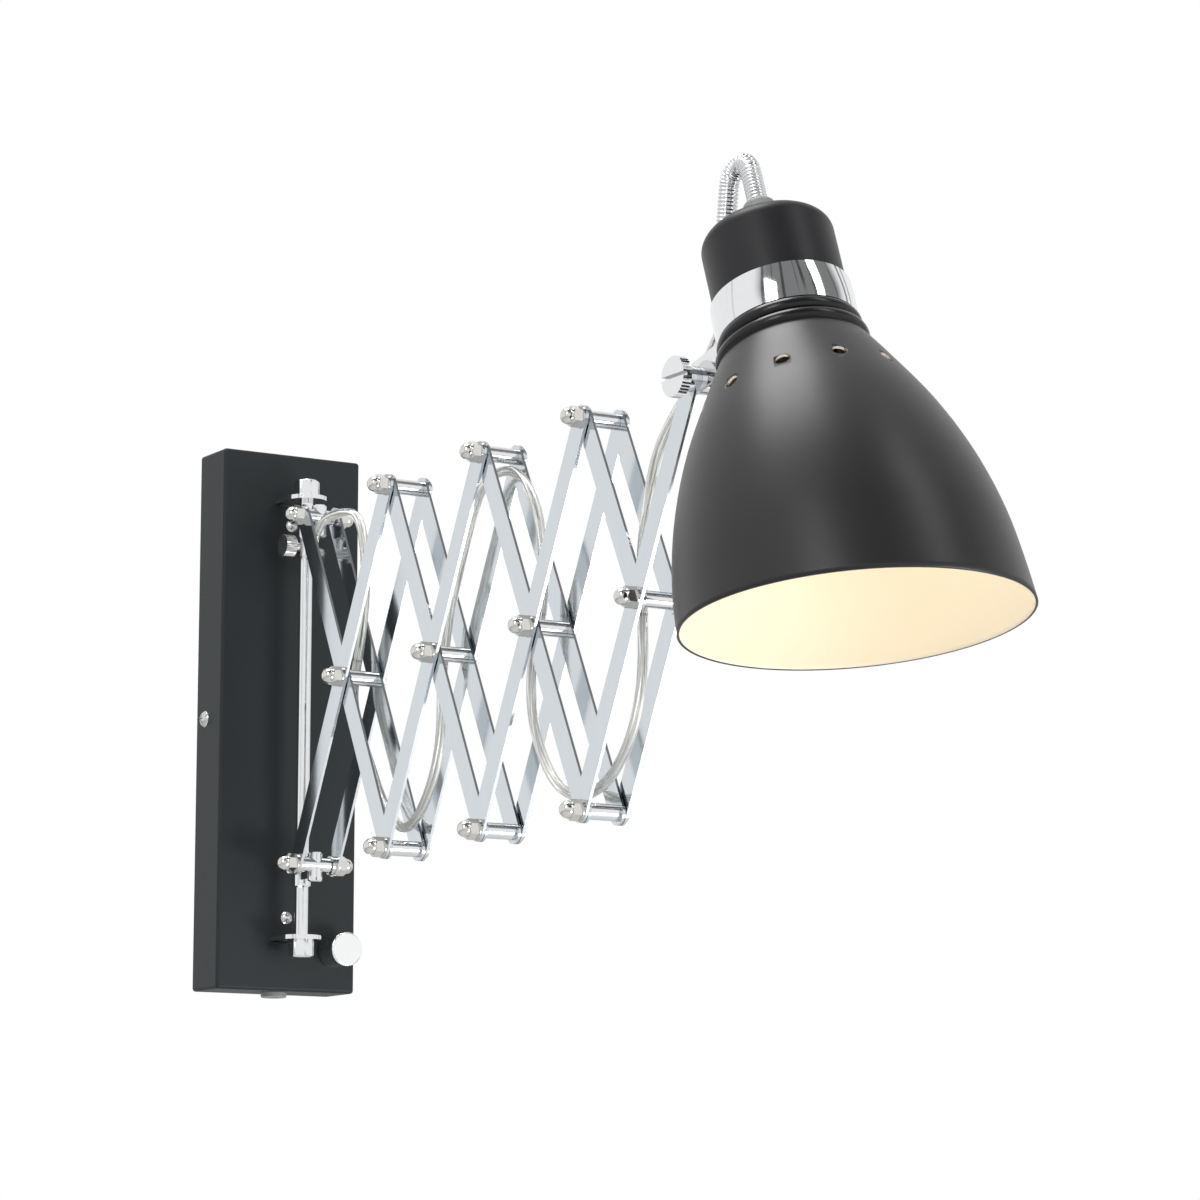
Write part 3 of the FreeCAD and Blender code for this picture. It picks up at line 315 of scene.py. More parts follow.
dress(knob_chrome, "dimmer_knob")
dress(chrome, "rod", "neck_band", "head_fork", "head_spacer", "head_thumb_screw",
      *["rising_spacers_%d" % k for k in (1, 2, 3, 4)])
dress(strip_chrome, *["%s_strip_%d_%s" % (way, k, side) for way in ("rising", "falling")
                      for k in (1, 2, 3, 4) for side in ("left", "right")])
dress(warm_nickel, "falling_fasteners_1", "head_pivot_nut",
      *["rising_fasteners_%d" % k for k in (1, 2, 3, 4)])
dress(satin_nickel, "clamp_screw")
dress(zinc_steel, "wall_bracket", "dimmer_shaft")
dress(screw_steel, "side_screws", "face_screws")

# %% [markdown]
# ### Plastic and rubber
# The bushes under the box and on the cap are soft grey plastic, and the terminal
# block is milky white. The lampholder, the dimmer and the bush where the cable leaves
# the box are plain black moulded plastic, a little glossier than the powder coat.

# %% Plastic finishes
grey_bush = finish("grey_bush", (0.30, 0.30, 0.30), 0.0, 0.50, vary=0.05, scale=500, bump=0.08,
                   tone=0.06)
milky_plastic = finish("milky_plastic", (0.78, 0.77, 0.73), 0.0, 0.38, vary=0.05, scale=300,
                       tone=0.03)
moulded_black = finish("moulded_black", (0.022, 0.022, 0.022), 0.0, 0.33, vary=0.06, scale=600,
                       bump=0.1, tone=0.1)
dress(grey_bush, "cable_inlet_bush")
dress(milky_plastic, "terminal_block")
dress(moulded_black, "dimmer_module", "lampholder", "cable_exit_bush")

# %% [markdown]
# ## The head's own axes
# The head leans back towards the wall. Its pieces are easier to build upright, as
# on a lathe, and to lean afterwards, so one matrix holds that lean and its place.

# %% Place of the head
head_lean = math.radians(-20)
head_origin = Vector((0, -0.55466, 0.14602))
head_axes = Matrix.Translation(head_origin) @ Matrix.Rotation(head_lean, 4, "X")
print("head origin", [round(value, 4) for value in head_origin])


def keep_mesh(name, mesh, *materials):
    """Object at the origin that holds a finished mesh."""
    piece = bpy.data.objects.new(name, mesh)
    for material in materials:
        mesh.materials.append(material)
    bpy.context.collection.objects.link(piece)
    print(name, len(mesh.polygons), "faces")
    return piece


# %% [markdown]
# ## Shells from rings
# Many turned and milled pieces are a stack of rings: each ring is a closed line of
# points, and faces join it to the next. The same small helper makes a hollow cap,
# whose last ring meets its first, and a solid nut, whose ends are filled. A plate is
# the shortest such stack: two rings with the same plan.

# %% A shell from rings
crease_angle = math.radians(32)


def shell(name, rings, material, hollow=False):
    """Closed mesh object through rings of points; a hollow one joins its last ring to its first."""
    bm = bmesh.new()
    rows = [[bm.verts.new(point) for point in ring] for ring in rings]
    pairs = list(zip(rows, rows[1:])) + ([(rows[-1], rows[0])] if hollow else [])
    for row, after in pairs:
        for k in range(len(row)):
            m = (k + 1) % len(row)
            bm.faces.new((row[k], after[k], after[m], row[m]))
    if not hollow:
        bm.faces.new(rows[0])
        bm.faces.new(rows[-1])
    bmesh.ops.recalc_face_normals(bm, faces=bm.faces)
    for face in bm.faces:
        face.smooth = True
    mesh = bpy.data.meshes.new(name)
    bm.to_mesh(mesh)
    bm.free()
    mesh.set_sharp_from_angle(angle=crease_angle)
    return keep_mesh(name, mesh, material)


def lathe_rings(outline, place, sides):
    """Rings of an outline of (radius, height) in millimetres, turned about a place's axis."""
    rings = []
    for radius, height in outline:
        rings.append([place @ Vector((radius / 1000 * math.cos(2 * math.pi * k / sides),
                                      radius / 1000 * math.sin(2 * math.pi * k / sides),
                                      height / 1000)) for k in range(sides)])
    return rings


def corner(centre, radii, start, end, steps):
    """Points of a rounded corner, from one angle in degrees to another."""
    turns = [math.radians(start + (end - start) * k / steps) for k in range(steps + 1)]
    return [(centre[0] + radii[0] * math.cos(turn), centre[1] + radii[1] * math.sin(turn))
            for turn in turns]


def plate(name, plan, levels, material):
    """Flat piece with one plan, as (x, y) in millimetres, between two levels."""
    return shell(name, [[Vector((x, y, z)) / 1000 for x, y in plan] for z in levels], material)


def oblong(half_width, front, back):
    """Plan of a straight plate, from its half width and its two ends."""
    return [(-half_width, front), (half_width, front), (half_width, back), (-half_width, back)]


print("edges sharper than", round(math.degrees(crease_angle)), "degrees stay crisp")

# %% [markdown]
# ## The cap and its bush
# The cap is a straight tube with a flat top and a firm rounded shoulder. Its
# outline is drawn once and turned about the head's axis, outside and inside in one
# closed loop, so the wall has a thickness. The grey bush on top grips the hose.

# %% Cap and bush
cap_radius, cap_wall, cap_top, cap_shoulder = 33.2, 1.6, 40.2, (10.2, 8.9)
bush_hole, bush_neck, bush_neck_foot, bush_bore, bush_top = 7.2, 7.0, 36.2, 5.4, 56.0
round_from = (cap_radius - cap_shoulder[0], cap_top - cap_shoulder[1])
cap_outline = ([(cap_radius, 0)] + corner(round_from, cap_shoulder, 0, 90, 14)
               + [(bush_hole, cap_top), (bush_hole, cap_top - cap_wall)]
               + corner(round_from, [size - cap_wall for size in cap_shoulder], 90, 0, 14)
               + [(cap_radius - cap_wall, 0)])
cap = shell("spun_cap", lathe_rings(cap_outline, head_axes, 96), satin_cap, hollow=True)
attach(cap, "head")
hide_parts("neck_cap")
flange_foot = corner((9.6, cap_top + 0.6), (0.6, 0.6), -90, 0, 4)
flange_top = corner((9.4, 46.6), (0.8, 0.8), 0, 90, 5)
flange_groove = corner((8.9, 48.2), (0.6, 0.8), 270, 180, 4)
rounded_lip = corner((5.9, 53.4), (2.3, 2.6), 0, 90, 8)
bush_outline = ([(bush_bore, bush_neck_foot), (bush_neck, bush_neck_foot), (bush_neck, cap_top)]
                + flange_foot + flange_top + flange_groove + rounded_lip + [(bush_bore, bush_top)])
bush = shell("hose_bush", lathe_rings(bush_outline, head_axes, 48), grey_bush, hollow=True)
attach(bush, "head")
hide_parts("cap_grommet")

# %% [markdown]
# ## The ends of the rod
# A sheet leaf comes out of a slot in the box at each end of the rod. It widens
# outside the slot, and its end is round. A closed hexagon nut clamps the rod to it,
# with one of its flats towards the front left. A hexagon's radius depends on the
# angle, so the nut's rings follow that rule, and a cone takes the corners off.

# %% Leaves and nuts of the rod
nuts_low, nuts_high = (Vector(spot) * 1000 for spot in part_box("rod_cap_nuts"))
leaf_low, leaf_high = (Vector(spot) * 1000 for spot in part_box("upper_rod_bracket"))
rod_y = (nuts_low.y + nuts_high.y) / 2
leaf_back, leaf_top = leaf_high.y, leaf_high.z
leaf_sheet, leaf_half, leaf_wide, face_gap = 2.5, 9.0, 12.0, 0.4
cover_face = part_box("wall_cover")[0][1] * 1000
nut_height, nut_flats, nut_turn = nuts_high.z - leaf_top, 13.0, math.radians(-31)
nut_sides = 72


def leaf_outline():
    """Plan of the leaf as (x, y), from the leg out through the slot to the round end."""
    shoulder = cover_face - face_gap
    side = [(leaf_half, leaf_back), (leaf_half, shoulder), (leaf_wide, shoulder)]
    end = corner((0, rod_y), (leaf_wide, leaf_wide), 0, -180, 32)
    return side + end + [(-x, y) for x, y in side[::-1]]


def nut_ring(height, limit, side):
    """Ring of the nut: a hexagon that a round limit cuts at its corners."""
    ring = []
    for k in range(nut_sides):
        turn = 2 * math.pi * k / nut_sides
        off = (turn % (math.pi / 3)) - math.pi / 6
        radius = min(nut_flats / 2 / math.cos(off), limit)
        ring.append(Vector((radius * math.sin(turn + nut_turn + math.pi / 6),
                            rod_y - radius * math.cos(turn + nut_turn + math.pi / 6),
                            side * (leaf_top + height))) / 1000)
    return ring


corner_reach = nut_flats / math.sqrt(3)
top_chamfer = [(1.5, 0), (1.0, 0.55), (0.5, 1.3), (0, 2.3)]
nut_profile = ([(0, corner_reach - 0.6), (0.4, corner_reach)]
               + [(nut_height - down, corner_reach - off) for down, off in top_chamfer])
for side, end in ((1, "upper"), (-1, "lower")):
    level, under, leg_foot = side * leaf_top, side * (leaf_top - leaf_sheet), side * leaf_low.z
    leg_plan = oblong(leaf_half, leaf_back - leaf_sheet, leaf_back)
    leaf = plate(end + "_rod_leaf", leaf_outline(), (under, level), chrome)
    leg = plate(end + "_rod_leg", leg_plan, (leg_foot, under), chrome)
    for piece in (leaf, leg):
        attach(piece, "wall")
        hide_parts(end + "_rod_bracket")
    nut = shell(end + "_rod_nut", [nut_ring(height, limit, side) for height, limit in nut_profile],
                chrome)
    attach(nut, "wall")
    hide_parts("rod_cap_nuts")

# %% [markdown]
# ## The sleeves on the rod
# Each sleeve is a tube round the rod, and in front of it a cross of two round bars:
# an upright post, and a level bar that holds the ends of two strips. A short web
# joins the post to the tube. The tube and the bars are the same kind of outline,
# turned about an upright axis or about a level one.

# %% Sleeves
barrel_radius, rod_bore, post_radius = 5.4, 4.05, 4.3
web_half, web_in_post, web_in_tube, web_above_foot, web_below_top = 3.2, 2, 4.8, 2, 1
bar_radius, bar_bore, bar_half, bar_advance = 4.4, 3.1, 9.25, 16.5
pin_drop, edge = 6.0, 0.7
post_reach = {"upper_sleeve": (7.0, 12.0), "lower_sleeve": (7.2, 10.0)}


def round_bar(radius, start, end):
    """Outline of a solid round bar with chamfered ends."""
    return [(radius - edge, start), (radius, start + edge),
            (radius, end - edge), (radius - edge, end)]


def round_tube(radius, bore, start, end):
    """Outline of a tube with chamfered outer edges."""
    return [(bore, start)] + round_bar(radius, start, end) + [(bore, end)]


for name in ("upper_sleeve", "lower_sleeve"):
    sleeve_low, sleeve_high = (Vector(spot) * 1000 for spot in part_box(name))
    pin_level = sleeve_high.z - pin_drop
    post_up, post_down = post_reach[name]
    on_rod = Matrix.Translation((0, rod_y / 1000, 0))
    on_post = Matrix.Translation((0, (rod_y - bar_advance) / 1000, 0))
    on_bar = (Matrix.Translation((0, (rod_y - bar_advance) / 1000, pin_level / 1000))
              @ Matrix.Rotation(math.pi / 2, 4, "Y"))
    tube = round_tube(barrel_radius, rod_bore, sleeve_low.z, sleeve_high.z)
    post = round_bar(post_radius, pin_level - post_down, pin_level + post_up)
    bar = round_tube(bar_radius, bar_bore, -bar_half, bar_half)
    web_plan = oblong(web_half, rod_y - bar_advance + web_in_post, rod_y - web_in_tube)
    web_levels = (pin_level - post_down + web_above_foot, sleeve_high.z - web_below_top)
    forms = [
        shell(name + "_tube", lathe_rings(tube, on_rod, 64), chrome, hollow=True),
        shell(name + "_post", lathe_rings(post, on_post, 48), chrome),
        plate(name + "_web", web_plan, web_levels, chrome),
        shell(name + "_bar", lathe_rings(bar, on_bar, 48), chrome, hollow=True),
    ]
    for form in forms:
        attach(form, name)
        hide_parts(name)
    print(name, "pin at", round(pin_level, 2), "mm, foot at", round(sleeve_low.z, 2), "mm")

# %% [markdown]
# ## The shade
# The shade is sheet metal spun over a form: one curve turned about an axis, with
# its mouth cut off at a slant. Turning a curve with the Spin tool would give a level
# mouth, so each upright line of the mesh is stopped where it meets the slanted
# plane instead. The outside is satin black, and the inside is enamelled white.

# %% Shade profile
shade_wall = 0.0012
mouth_centre = 0.178
mouth_slope = math.radians(12)
shade_outline = [(37.0, 33.1), (46.5, 50.0), (62.0, 80.0), (73.3, 110.0), (80.4, 140.0),
                 (83.6, 170.0), (85.6, 215.0)]


def smooth_through(points, steps):
    """Points on a curve that passes smoothly through the given ones."""
    spots = []
    for i in range(len(points) - 1):
        before = points[max(i - 1, 0)]
        after = points[min(i + 2, len(points) - 1)]
        a, b = points[i], points[i + 1]
        for k in range(steps):
            t = k / steps
            spots.append(tuple(
                0.5 * (2 * a[j] + (b[j] - before[j]) * t
                       + (2 * before[j] - 5 * a[j] + 4 * b[j] - after[j]) * t * t
                       + (3 * a[j] - before[j] - 3 * b[j] + after[j]) * t ** 3)
                for j in (0, 1)))
    return spots + [points[-1]]


shade_curve = smooth_through([(r / 1000, drop / 1000) for r, drop in shade_outline], 10)


def at_drop(drop):
    """Radius of the shade this far below the cap's edge."""
    for (r0, d0), (r1, d1) in zip(shade_curve, shade_curve[1:]):
        if drop <= d1:
            return r0 + (r1 - r0) * (drop - d0) / (d1 - d0)
    return shade_curve[-1][0]


print("shade curve has", len(shade_curve), "points; radius at the mouth",
      round(at_drop(mouth_centre), 4))

# %% [markdown]
# The two skins share their rings: the outer one runs down the curve, the rim turns
# under it, and the inner one runs back up a wall's thickness further in. The top of
# the shade is a flat disc with a hole, clamped under the lampholder.

# %% Shade mesh
shade_sides = 144
shade_rings = 56
shade_top = shade_curve[0][1]
seat_radius = 0.021


def mouth_drop(angle):
    """How far down the shade reaches at this angle, on its slanted mouth."""
    drop = mouth_centre
    for _ in range(12):
        drop = mouth_centre - at_drop(drop) * math.sin(angle) * math.tan(mouth_slope)
    return drop


def shade_skin(inset):
    """Rings of points from the shade's top to its mouth, set in from the outside."""
    rings = []
    for i in range(shade_rings + 1):
        ring = []
        for k in range(shade_sides):
            angle = 2 * math.pi * k / shade_sides
            top = shade_top + inset
            drop = top + (mouth_drop(angle) - top) * i / shade_rings
            radius = at_drop(drop) - inset * (1.25 if drop < 0.1 else 1.05)
            ring.append(Vector((radius * math.cos(angle), radius * math.sin(angle), -drop)))
        rings.append(ring)
    return rings


outside = shade_skin(0.0)
inside = shade_skin(shade_wall)
seat_up = [Vector((seat_radius * math.cos(2 * math.pi * k / shade_sides),
                   seat_radius * math.sin(2 * math.pi * k / shade_sides), -shade_top))
           for k in range(shade_sides)]
seat_down = [point - Vector((0, 0, shade_wall)) for point in seat_up]
shade_walls = [seat_up] + outside + inside[::-1] + [seat_down]
bm = bmesh.new()
rows = [[bm.verts.new(head_axes @ point) for point in ring] for ring in shade_walls]
for i in range(len(rows)):
    row, after = rows[i], rows[(i + 1) % len(rows)]
    for k in range(shade_sides):
        m = (k + 1) % shade_sides
        face = bm.faces.new((row[k], after[k], after[m], row[m]))
        face.smooth = True
        face.material_index = 0 if i <= len(outside) else 1
bmesh.ops.recalc_face_normals(bm, faces=bm.faces)
shade_mesh = bpy.data.meshes.new("spun_shade")
bm.to_mesh(shade_mesh)
bm.free()
print("shade walls", len(shade_mesh.polygons), "faces")

# %% [markdown]
# ### Black outside, white enamel inside
# The outside scatters light broadly: satin paint over spun steel. The inside is
# warm because the lamp shines on it. A little emission stands for the light that
# bounces many times between the walls.
# Above the vent holes the lampholder shades the inside, so there the enamel's
# colour and glow are painted dark, fading with the height: a painted shade. The
# holes' cut rims show bare metal.

# %% Shade finishes
satin_black = finish("satin_black", (0.014, 0.014, 0.0145), 0.0, 0.38, vary=0.04, scale=1200,
                     bump=0.06, tone=0.06)
satin_black.node_tree.nodes["Principled BSDF"].inputs["Specular IOR Level"].default_value = 0.40
# Painted light: the white enamel's colour is tinted warm for the lamp's light on it, and its glow
# is painted bounce light.
enamel = finish("lamplit_enamel", (0.82, 0.76, 0.64), 0.0, 0.45, vary=0.04, scale=300)
glow = enamel.node_tree.nodes["Principled BSDF"]
glow.inputs["Emission Strength"].default_value = 0.16


def fade_up(material, dark_level, lit_level, *fades):
    """Fade sockets with the height in the head, from a dark colour to a lit one: painted shade."""
    parts, links = material.node_tree.nodes, material.node_tree.links
    head_up = head_axes.to_3x3() @ Vector((0, 0, 1))
    height = parts.new("ShaderNodeVectorMath")
    height.operation = "DOT_PRODUCT"
    height.inputs[1].default_value = head_up
    links.new(parts["Texture Coordinate"].outputs["Object"], height.inputs[0])
    share = parts.new("ShaderNodeMapRange")
    share.inputs["From Min"].default_value = head_origin.dot(head_up) + dark_level
    share.inputs["From Max"].default_value = head_origin.dot(head_up) + lit_level
    links.new(height.outputs["Value"], share.inputs["Value"])
    for socket, dark, bright in fades:
        fade = parts.new("ShaderNodeMix")
        fade.data_type = "RGBA"
        fade.inputs["A"].default_value = (*dark, 1)
        fade.inputs["B"].default_value = (*bright, 1)
        links.new(share.outputs["Result"], fade.inputs["Factor"])
        links.new(fade.outputs["Result"], parts["Principled BSDF"].inputs[socket])


# Painted shade: above the vent holes the enamel's colour and glow are painted dark.
enamel_painted_shade_level, enamel_lit_level = -0.058, -0.072
fade_up(enamel, enamel_painted_shade_level, enamel_lit_level,
        ("Base Color", (0.05, 0.045, 0.04), (0.82, 0.76, 0.64)),
        ("Emission Color", (0.0, 0.0, 0.0), (1.0, 0.84, 0.60)))
bare_rim = finish("bare_rim", (0.62, 0.60, 0.58), 1.0, 0.35, vary=0.05, scale=600)
print("enamel glows at", glow.inputs["Emission Strength"].default_value)

# %% [markdown]
# ### The ring of vent holes
# Twelve round holes let the heat out. They repeat about the axis, which is a job for
# Geometry Nodes: one drill is copied on to the points of a circle, each copy turned
# to face outwards, and a boolean takes them all out of the wall in one step.

# %% Helpers for Geometry Nodes
def new_tree(name, **sizes):
    """Empty node tree with a mesh going in and out, and one named input for each size."""
    tree = bpy.data.node_groups.new(name, "GeometryNodeTree")
    tree.interface.new_socket("Geometry", in_out="INPUT", socket_type="NodeSocketGeometry")
    for title, value in sizes.items():
        kind = "NodeSocketInt" if isinstance(value, int) else "NodeSocketFloat"
        tree.interface.new_socket(title, in_out="INPUT", socket_type=kind).default_value = value
    tree.interface.new_socket("Geometry", in_out="OUTPUT", socket_type="NodeSocketGeometry")
    return tree, tree.nodes.new("NodeGroupInput"), tree.nodes.new("NodeGroupOutput")


def add(tree, kind, links=(), **values):
    """Node with its values set, and (input, socket) pairs linked into it."""
    node = tree.nodes.new(kind)
    for title, value in values.items():
        setattr(node, title, value)
    for title, source in links:
        if isinstance(source, bpy.types.NodeSocket):
            tree.links.new(source, node.inputs[title])
        else:
            node.inputs[title].default_value = source
    return node


def grown(name, start, tree):
    """Plain mesh object of what a tree makes of a start object, materials and all."""
    modifier = start.modifiers.new(name, "NODES")
    modifier.node_group = tree
    bpy.context.view_layer.update()
    seen_now = start.evaluated_get(bpy.context.evaluated_depsgraph_get())
    mesh = bpy.data.meshes.new_from_object(seen_now)
    mesh.name = name
    start.modifiers.remove(modifier)
    bpy.data.objects.remove(start)
    return keep_mesh(name, mesh)


# %% Vent holes
first_hole_turn = math.radians(15)
drill_depth = 0.022
vents, vents_in, vents_out = new_tree("vent_ring", Count=12, Hole=0.0036, Circle=0.053,
                                      Drop=0.0618, Rise=0.55)
circle = add(vents, "GeometryNodeMeshCircle", [("Vertices", vents_in.outputs["Count"]),
                                               ("Radius", vents_in.outputs["Circle"])])
drill = add(vents, "GeometryNodeMeshCylinder", [("Vertices", 24), ("Depth", drill_depth),
                                                ("Radius", vents_in.outputs["Hole"])])
spot = add(vents, "GeometryNodeInputPosition")
lifted = add(vents, "ShaderNodeVectorMath", [(0, spot.outputs[0])], operation="NORMALIZE")
rise_by = add(vents, "ShaderNodeCombineXYZ", [("Z", vents_in.outputs["Rise"])])
outward = add(vents, "ShaderNodeVectorMath", [(0, lifted.outputs[0]), (1, rise_by.outputs[0])],
              operation="ADD")
facing = add(vents, "FunctionNodeAlignRotationToVector", [("Vector", outward.outputs[0])], axis="Z")
bare_drill = add(vents, "GeometryNodeSetMaterial", [("Geometry", drill.outputs["Mesh"]),
                                                    ("Material", bare_rim)])
drills = add(vents, "GeometryNodeInstanceOnPoints", [("Points", circle.outputs["Mesh"]),
                                                     ("Instance", bare_drill.outputs[0]),
                                                     ("Rotation", facing.outputs[0])])
solid_drills = add(vents, "GeometryNodeRealizeInstances", [("Geometry", drills.outputs[0])])
turned = add(vents, "GeometryNodeTransform", [("Geometry", solid_drills.outputs[0]),
                                              ("Rotation", (0, 0, first_hole_turn))])
drop_by = add(vents, "ShaderNodeMath", [(0, 0.0), (1, vents_in.outputs["Drop"])],
              operation="SUBTRACT")
down_by = add(vents, "ShaderNodeCombineXYZ", [("Z", drop_by.outputs[0])])
lowered = add(vents, "GeometryNodeTransform", [("Geometry", turned.outputs[0]),
                                               ("Translation", down_by.outputs[0])])
leaned = add(vents, "GeometryNodeTransform", [("Geometry", lowered.outputs[0]),
                                              ("Translation", tuple(head_origin)),
                                              ("Rotation", (head_lean, 0, 0))])
bored = add(vents, "GeometryNodeMeshBoolean", [("Mesh 1", vents_in.outputs["Geometry"]),
                                               ("Mesh 2", leaned.outputs[0])],
            operation="DIFFERENCE", solver="MANIFOLD")
vents.links.new(bored.outputs["Mesh"], vents_out.inputs["Geometry"])

shade_start = bpy.data.objects.new("shade_start", shade_mesh)
shade_mesh.materials.append(satin_black)
shade_mesh.materials.append(enamel)
bpy.context.collection.objects.link(shade_start)
shade = grown("spun_shade", shade_start, vents)
print("shade finishes", [material.name for material in shade.data.materials],
      "inside faces", sum(face.material_index == 1 for face in shade.data.polygons))
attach(shade, "head")
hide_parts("shade")

# %% [markdown]
# ### The lamp inside
# A frosted bulb hangs in the lampholder. Its glass is lit from within, so an
# emission shader stands for the filament, and a small lamp beside it lights the
# Towards its neck the glass is painted dark and its glow fades out: a painted shade.

# %% Lit bulb
frosted = finish("frosted_glass", (0.95, 0.92, 0.86), 0.0, 0.5, vary=0.03, scale=300)
lit = frosted.node_tree.nodes["Principled BSDF"]
lit.inputs["Emission Strength"].default_value = 1.0
# Painted shade: the glass's colour and glow go dark towards its neck.
neck_level, globe_level = -0.080, -0.112
fade_up(frosted, neck_level, globe_level,
        ("Emission Color", (0.0, 0.0, 0.0), (1.0, 0.87, 0.66)),
        ("Base Color", (0.10, 0.10, 0.10), (0.95, 0.92, 0.86)))
dress(frosted, "bulb")
bulb_light = bpy.data.lights.new("bulb_light", "POINT")
bulb_light.energy = 0.045
bulb_light.color = (1.0, 0.86, 0.66)
bulb_light.shadow_soft_size = 0.03
bulb_lamp = bpy.data.objects.new("bulb_light", bulb_light)
bulb_lamp.location = head_axes @ Vector((0, 0, -0.135))
bpy.context.collection.objects.link(bulb_lamp)
print("bulb light at", [round(value, 3) for value in bulb_lamp.location])

# %% [markdown]
# ## The clear cable
# A clear cable leaves the box, loops over the upper sleeve and hangs in the arm,
# between the near and the far strips, up to the head. Its middle line is one smooth
# NURBS curve near the places where the photograph shows it. It keeps a few
# millimetres to one side or the other, so that its lengths meet less when the arm is
# folded. The curve is read once with no thickness, and each link gets its length.

# %% Route of the cable
cable_radius = 0.00275
cable_route = [
    (15, -33, 100), (14, -42, 99.5), (10, -51, 98.5), (5, -59, 97), (-2, -65, 96.5),
    (-6.2, -71.5, 98), (-6.3, -74.5, 105), (-4, -80, 112.5), (3, -87, 116.5), (9, -95, 115.5),
    (9, -103, 107), (7.8, -109.5, 94), (6.6, -113, 82), (6.3, -114, 68), (6, -113.3, 54),
    (5, -112.2, 40), (3.5, -110.8, 26), (2, -110, 13), (1.2, -110.5, 2), (1.3, -115, -10),
    (1.6, -123.4, -25.6), (1.9, -133, -40.4), (2.1, -143, -56.3), (2.5, -156.3, -70.5),
    (2.9, -170, -78), (2.9, -184, -73.5), (2.9, -195.5, -63), (2.9, -204.5, -50),
    (2.9, -210, -36), (2.9, -212.2, -20.8), (2.9, -212, -5), (2.8, -213.5, 9), (2.9, -217, 24.4),
    (2.9, -221, 39.6), (2.9, -229, 57), (2.9, -237.5, 74), (2.9, -246.5, 91), (2.9, -255.5, 102),
    (2.9, -266, 107.5), (2.9, -279.5, 108.5), (2.9, -293, 105.5), (2.9, -303.6, 98),
    (2.9, -311, 88.5), (2.9, -316.5, 79), (2.9, -320, 68.9), (2.9, -322, 57), (2.8, -323.5, 46),
    (2.5, -324, 35), (2, -322.5, 23), (1, -319.5, 11.7), (-0.2, -317.2, 0), (-1.3, -317.5, -12),
    (-2.2, -319.5, -25), (-2.8, -323.6, -38), (-2.9, -330, -50.5), (-2.9, -338.5, -62.5),
    (-2.9, -349, -72), (-2.9, -361, -77.5), (-2.9, -373, -79.5), (-2.9, -385, -78.5),
    (-2.9, -398.4, -74), (-2.9, -410, -66), (-2.9, -419.8, -55.3), (-2.9, -426, -43.8),
    (-2.9, -430, -32), (-2.8, -432, -18.9), (-2.7, -432, -5.5), (-2.6, -431.5, 7),
    (-2.7, -431, 19.3), (-2.9, -431, 35), (-3, -433.4, 50.8), (-3, -438, 68), (-3, -444.5, 85),
    (-2, -452.5, 97.5), (-1, -462, 107.5), (0.5, -473, 117.5), (2, -485, 129), (3, -495, 140),
    (3, -501, 150), (1, -503, 160),
]
hose_base = 0.045
hose_rise = 0.0293
hose_turn = math.radians(152)
hose_bend = 0.0103
hose_drop = 0.042


def on_hose(along):
    """Place and direction of the hose's middle line in the head's upright axes."""
    if along <= hose_rise:
        return Vector((0, 0, hose_base + along)), Vector((0, 0, 1))
    turn = min((along - hose_rise) / hose_bend, hose_turn)
    place = Vector((0, hose_bend * (1 - math.cos(turn)),
                    hose_base + hose_rise + hose_bend * math.sin(turn)))
    heading = Vector((0, math.sin(turn), math.cos(turn)))
    rest = along - hose_rise - hose_bend * turn
    return place + heading * max(rest, 0), heading


hose_length = hose_rise + hose_bend * hose_turn + hose_drop
hose_mouth, hose_heading = on_hose(hose_length)
before_mouth, past_mouth = 0.0015, 0.012
into_hose = [head_axes @ (hose_mouth + hose_heading * before_mouth),
             head_axes @ (hose_mouth - hose_heading * past_mouth)]
route = [Vector(point) / 1000 for point in cable_route] + into_hose


def smooth_line(name, points):
    """Vertices along a NURBS curve with these control points."""
    data = bpy.data.curves.new(name, "CURVE")
    data.dimensions = "3D"
    data.resolution_u = 10
    line = data.splines.new("NURBS")
    line.points.add(len(points) - 1)
    for spot, point in zip(line.points, points):
        spot.co = (*point, 1)
    line.order_u = 3
    line.use_endpoint_u = True
    carrier = bpy.data.objects.new(name, data)
    bpy.context.collection.objects.link(carrier)
    bpy.context.view_layer.update()
    seen_now = carrier.evaluated_get(bpy.context.evaluated_depsgraph_get())
    mesh = bpy.data.meshes.new_from_object(seen_now)
    spots = [vertex.co.copy() for vertex in mesh.vertices]
    bpy.data.objects.remove(carrier)
    bpy.data.meshes.remove(mesh)
    return spots


cable_line = smooth_line("cable_line", route)
cable_run = sum((b - a).length for a, b in zip(cable_line, cable_line[1:]))
print("cable", len(cable_line), "spots,", round(cable_run, 3), "m")

# %% [markdown]
# ### Clear sleeve and two cores
# The sleeve is clear PVC. Inside it two thin plated cores are twisted round each
# other, which gives the cable its silver lines. The cores are a helix about the same
# line, so the same small helper sweeps a ring of points along each.

# %% Sweep a tube along a line
def frames_along(line):
    """Sideways directions along a line, carried from point to point without twisting."""
    headings = []
    for i in range(len(line)):
        headings.append((line[min(i + 1, len(line) - 1)] - line[max(i - 1, 0)]).normalized())
    side = headings[0].orthogonal().normalized()
    sides = []
    for heading in headings:
        side = (side - heading * side.dot(heading)).normalized()
        sides.append((side.copy(), heading.cross(side)))
    return sides


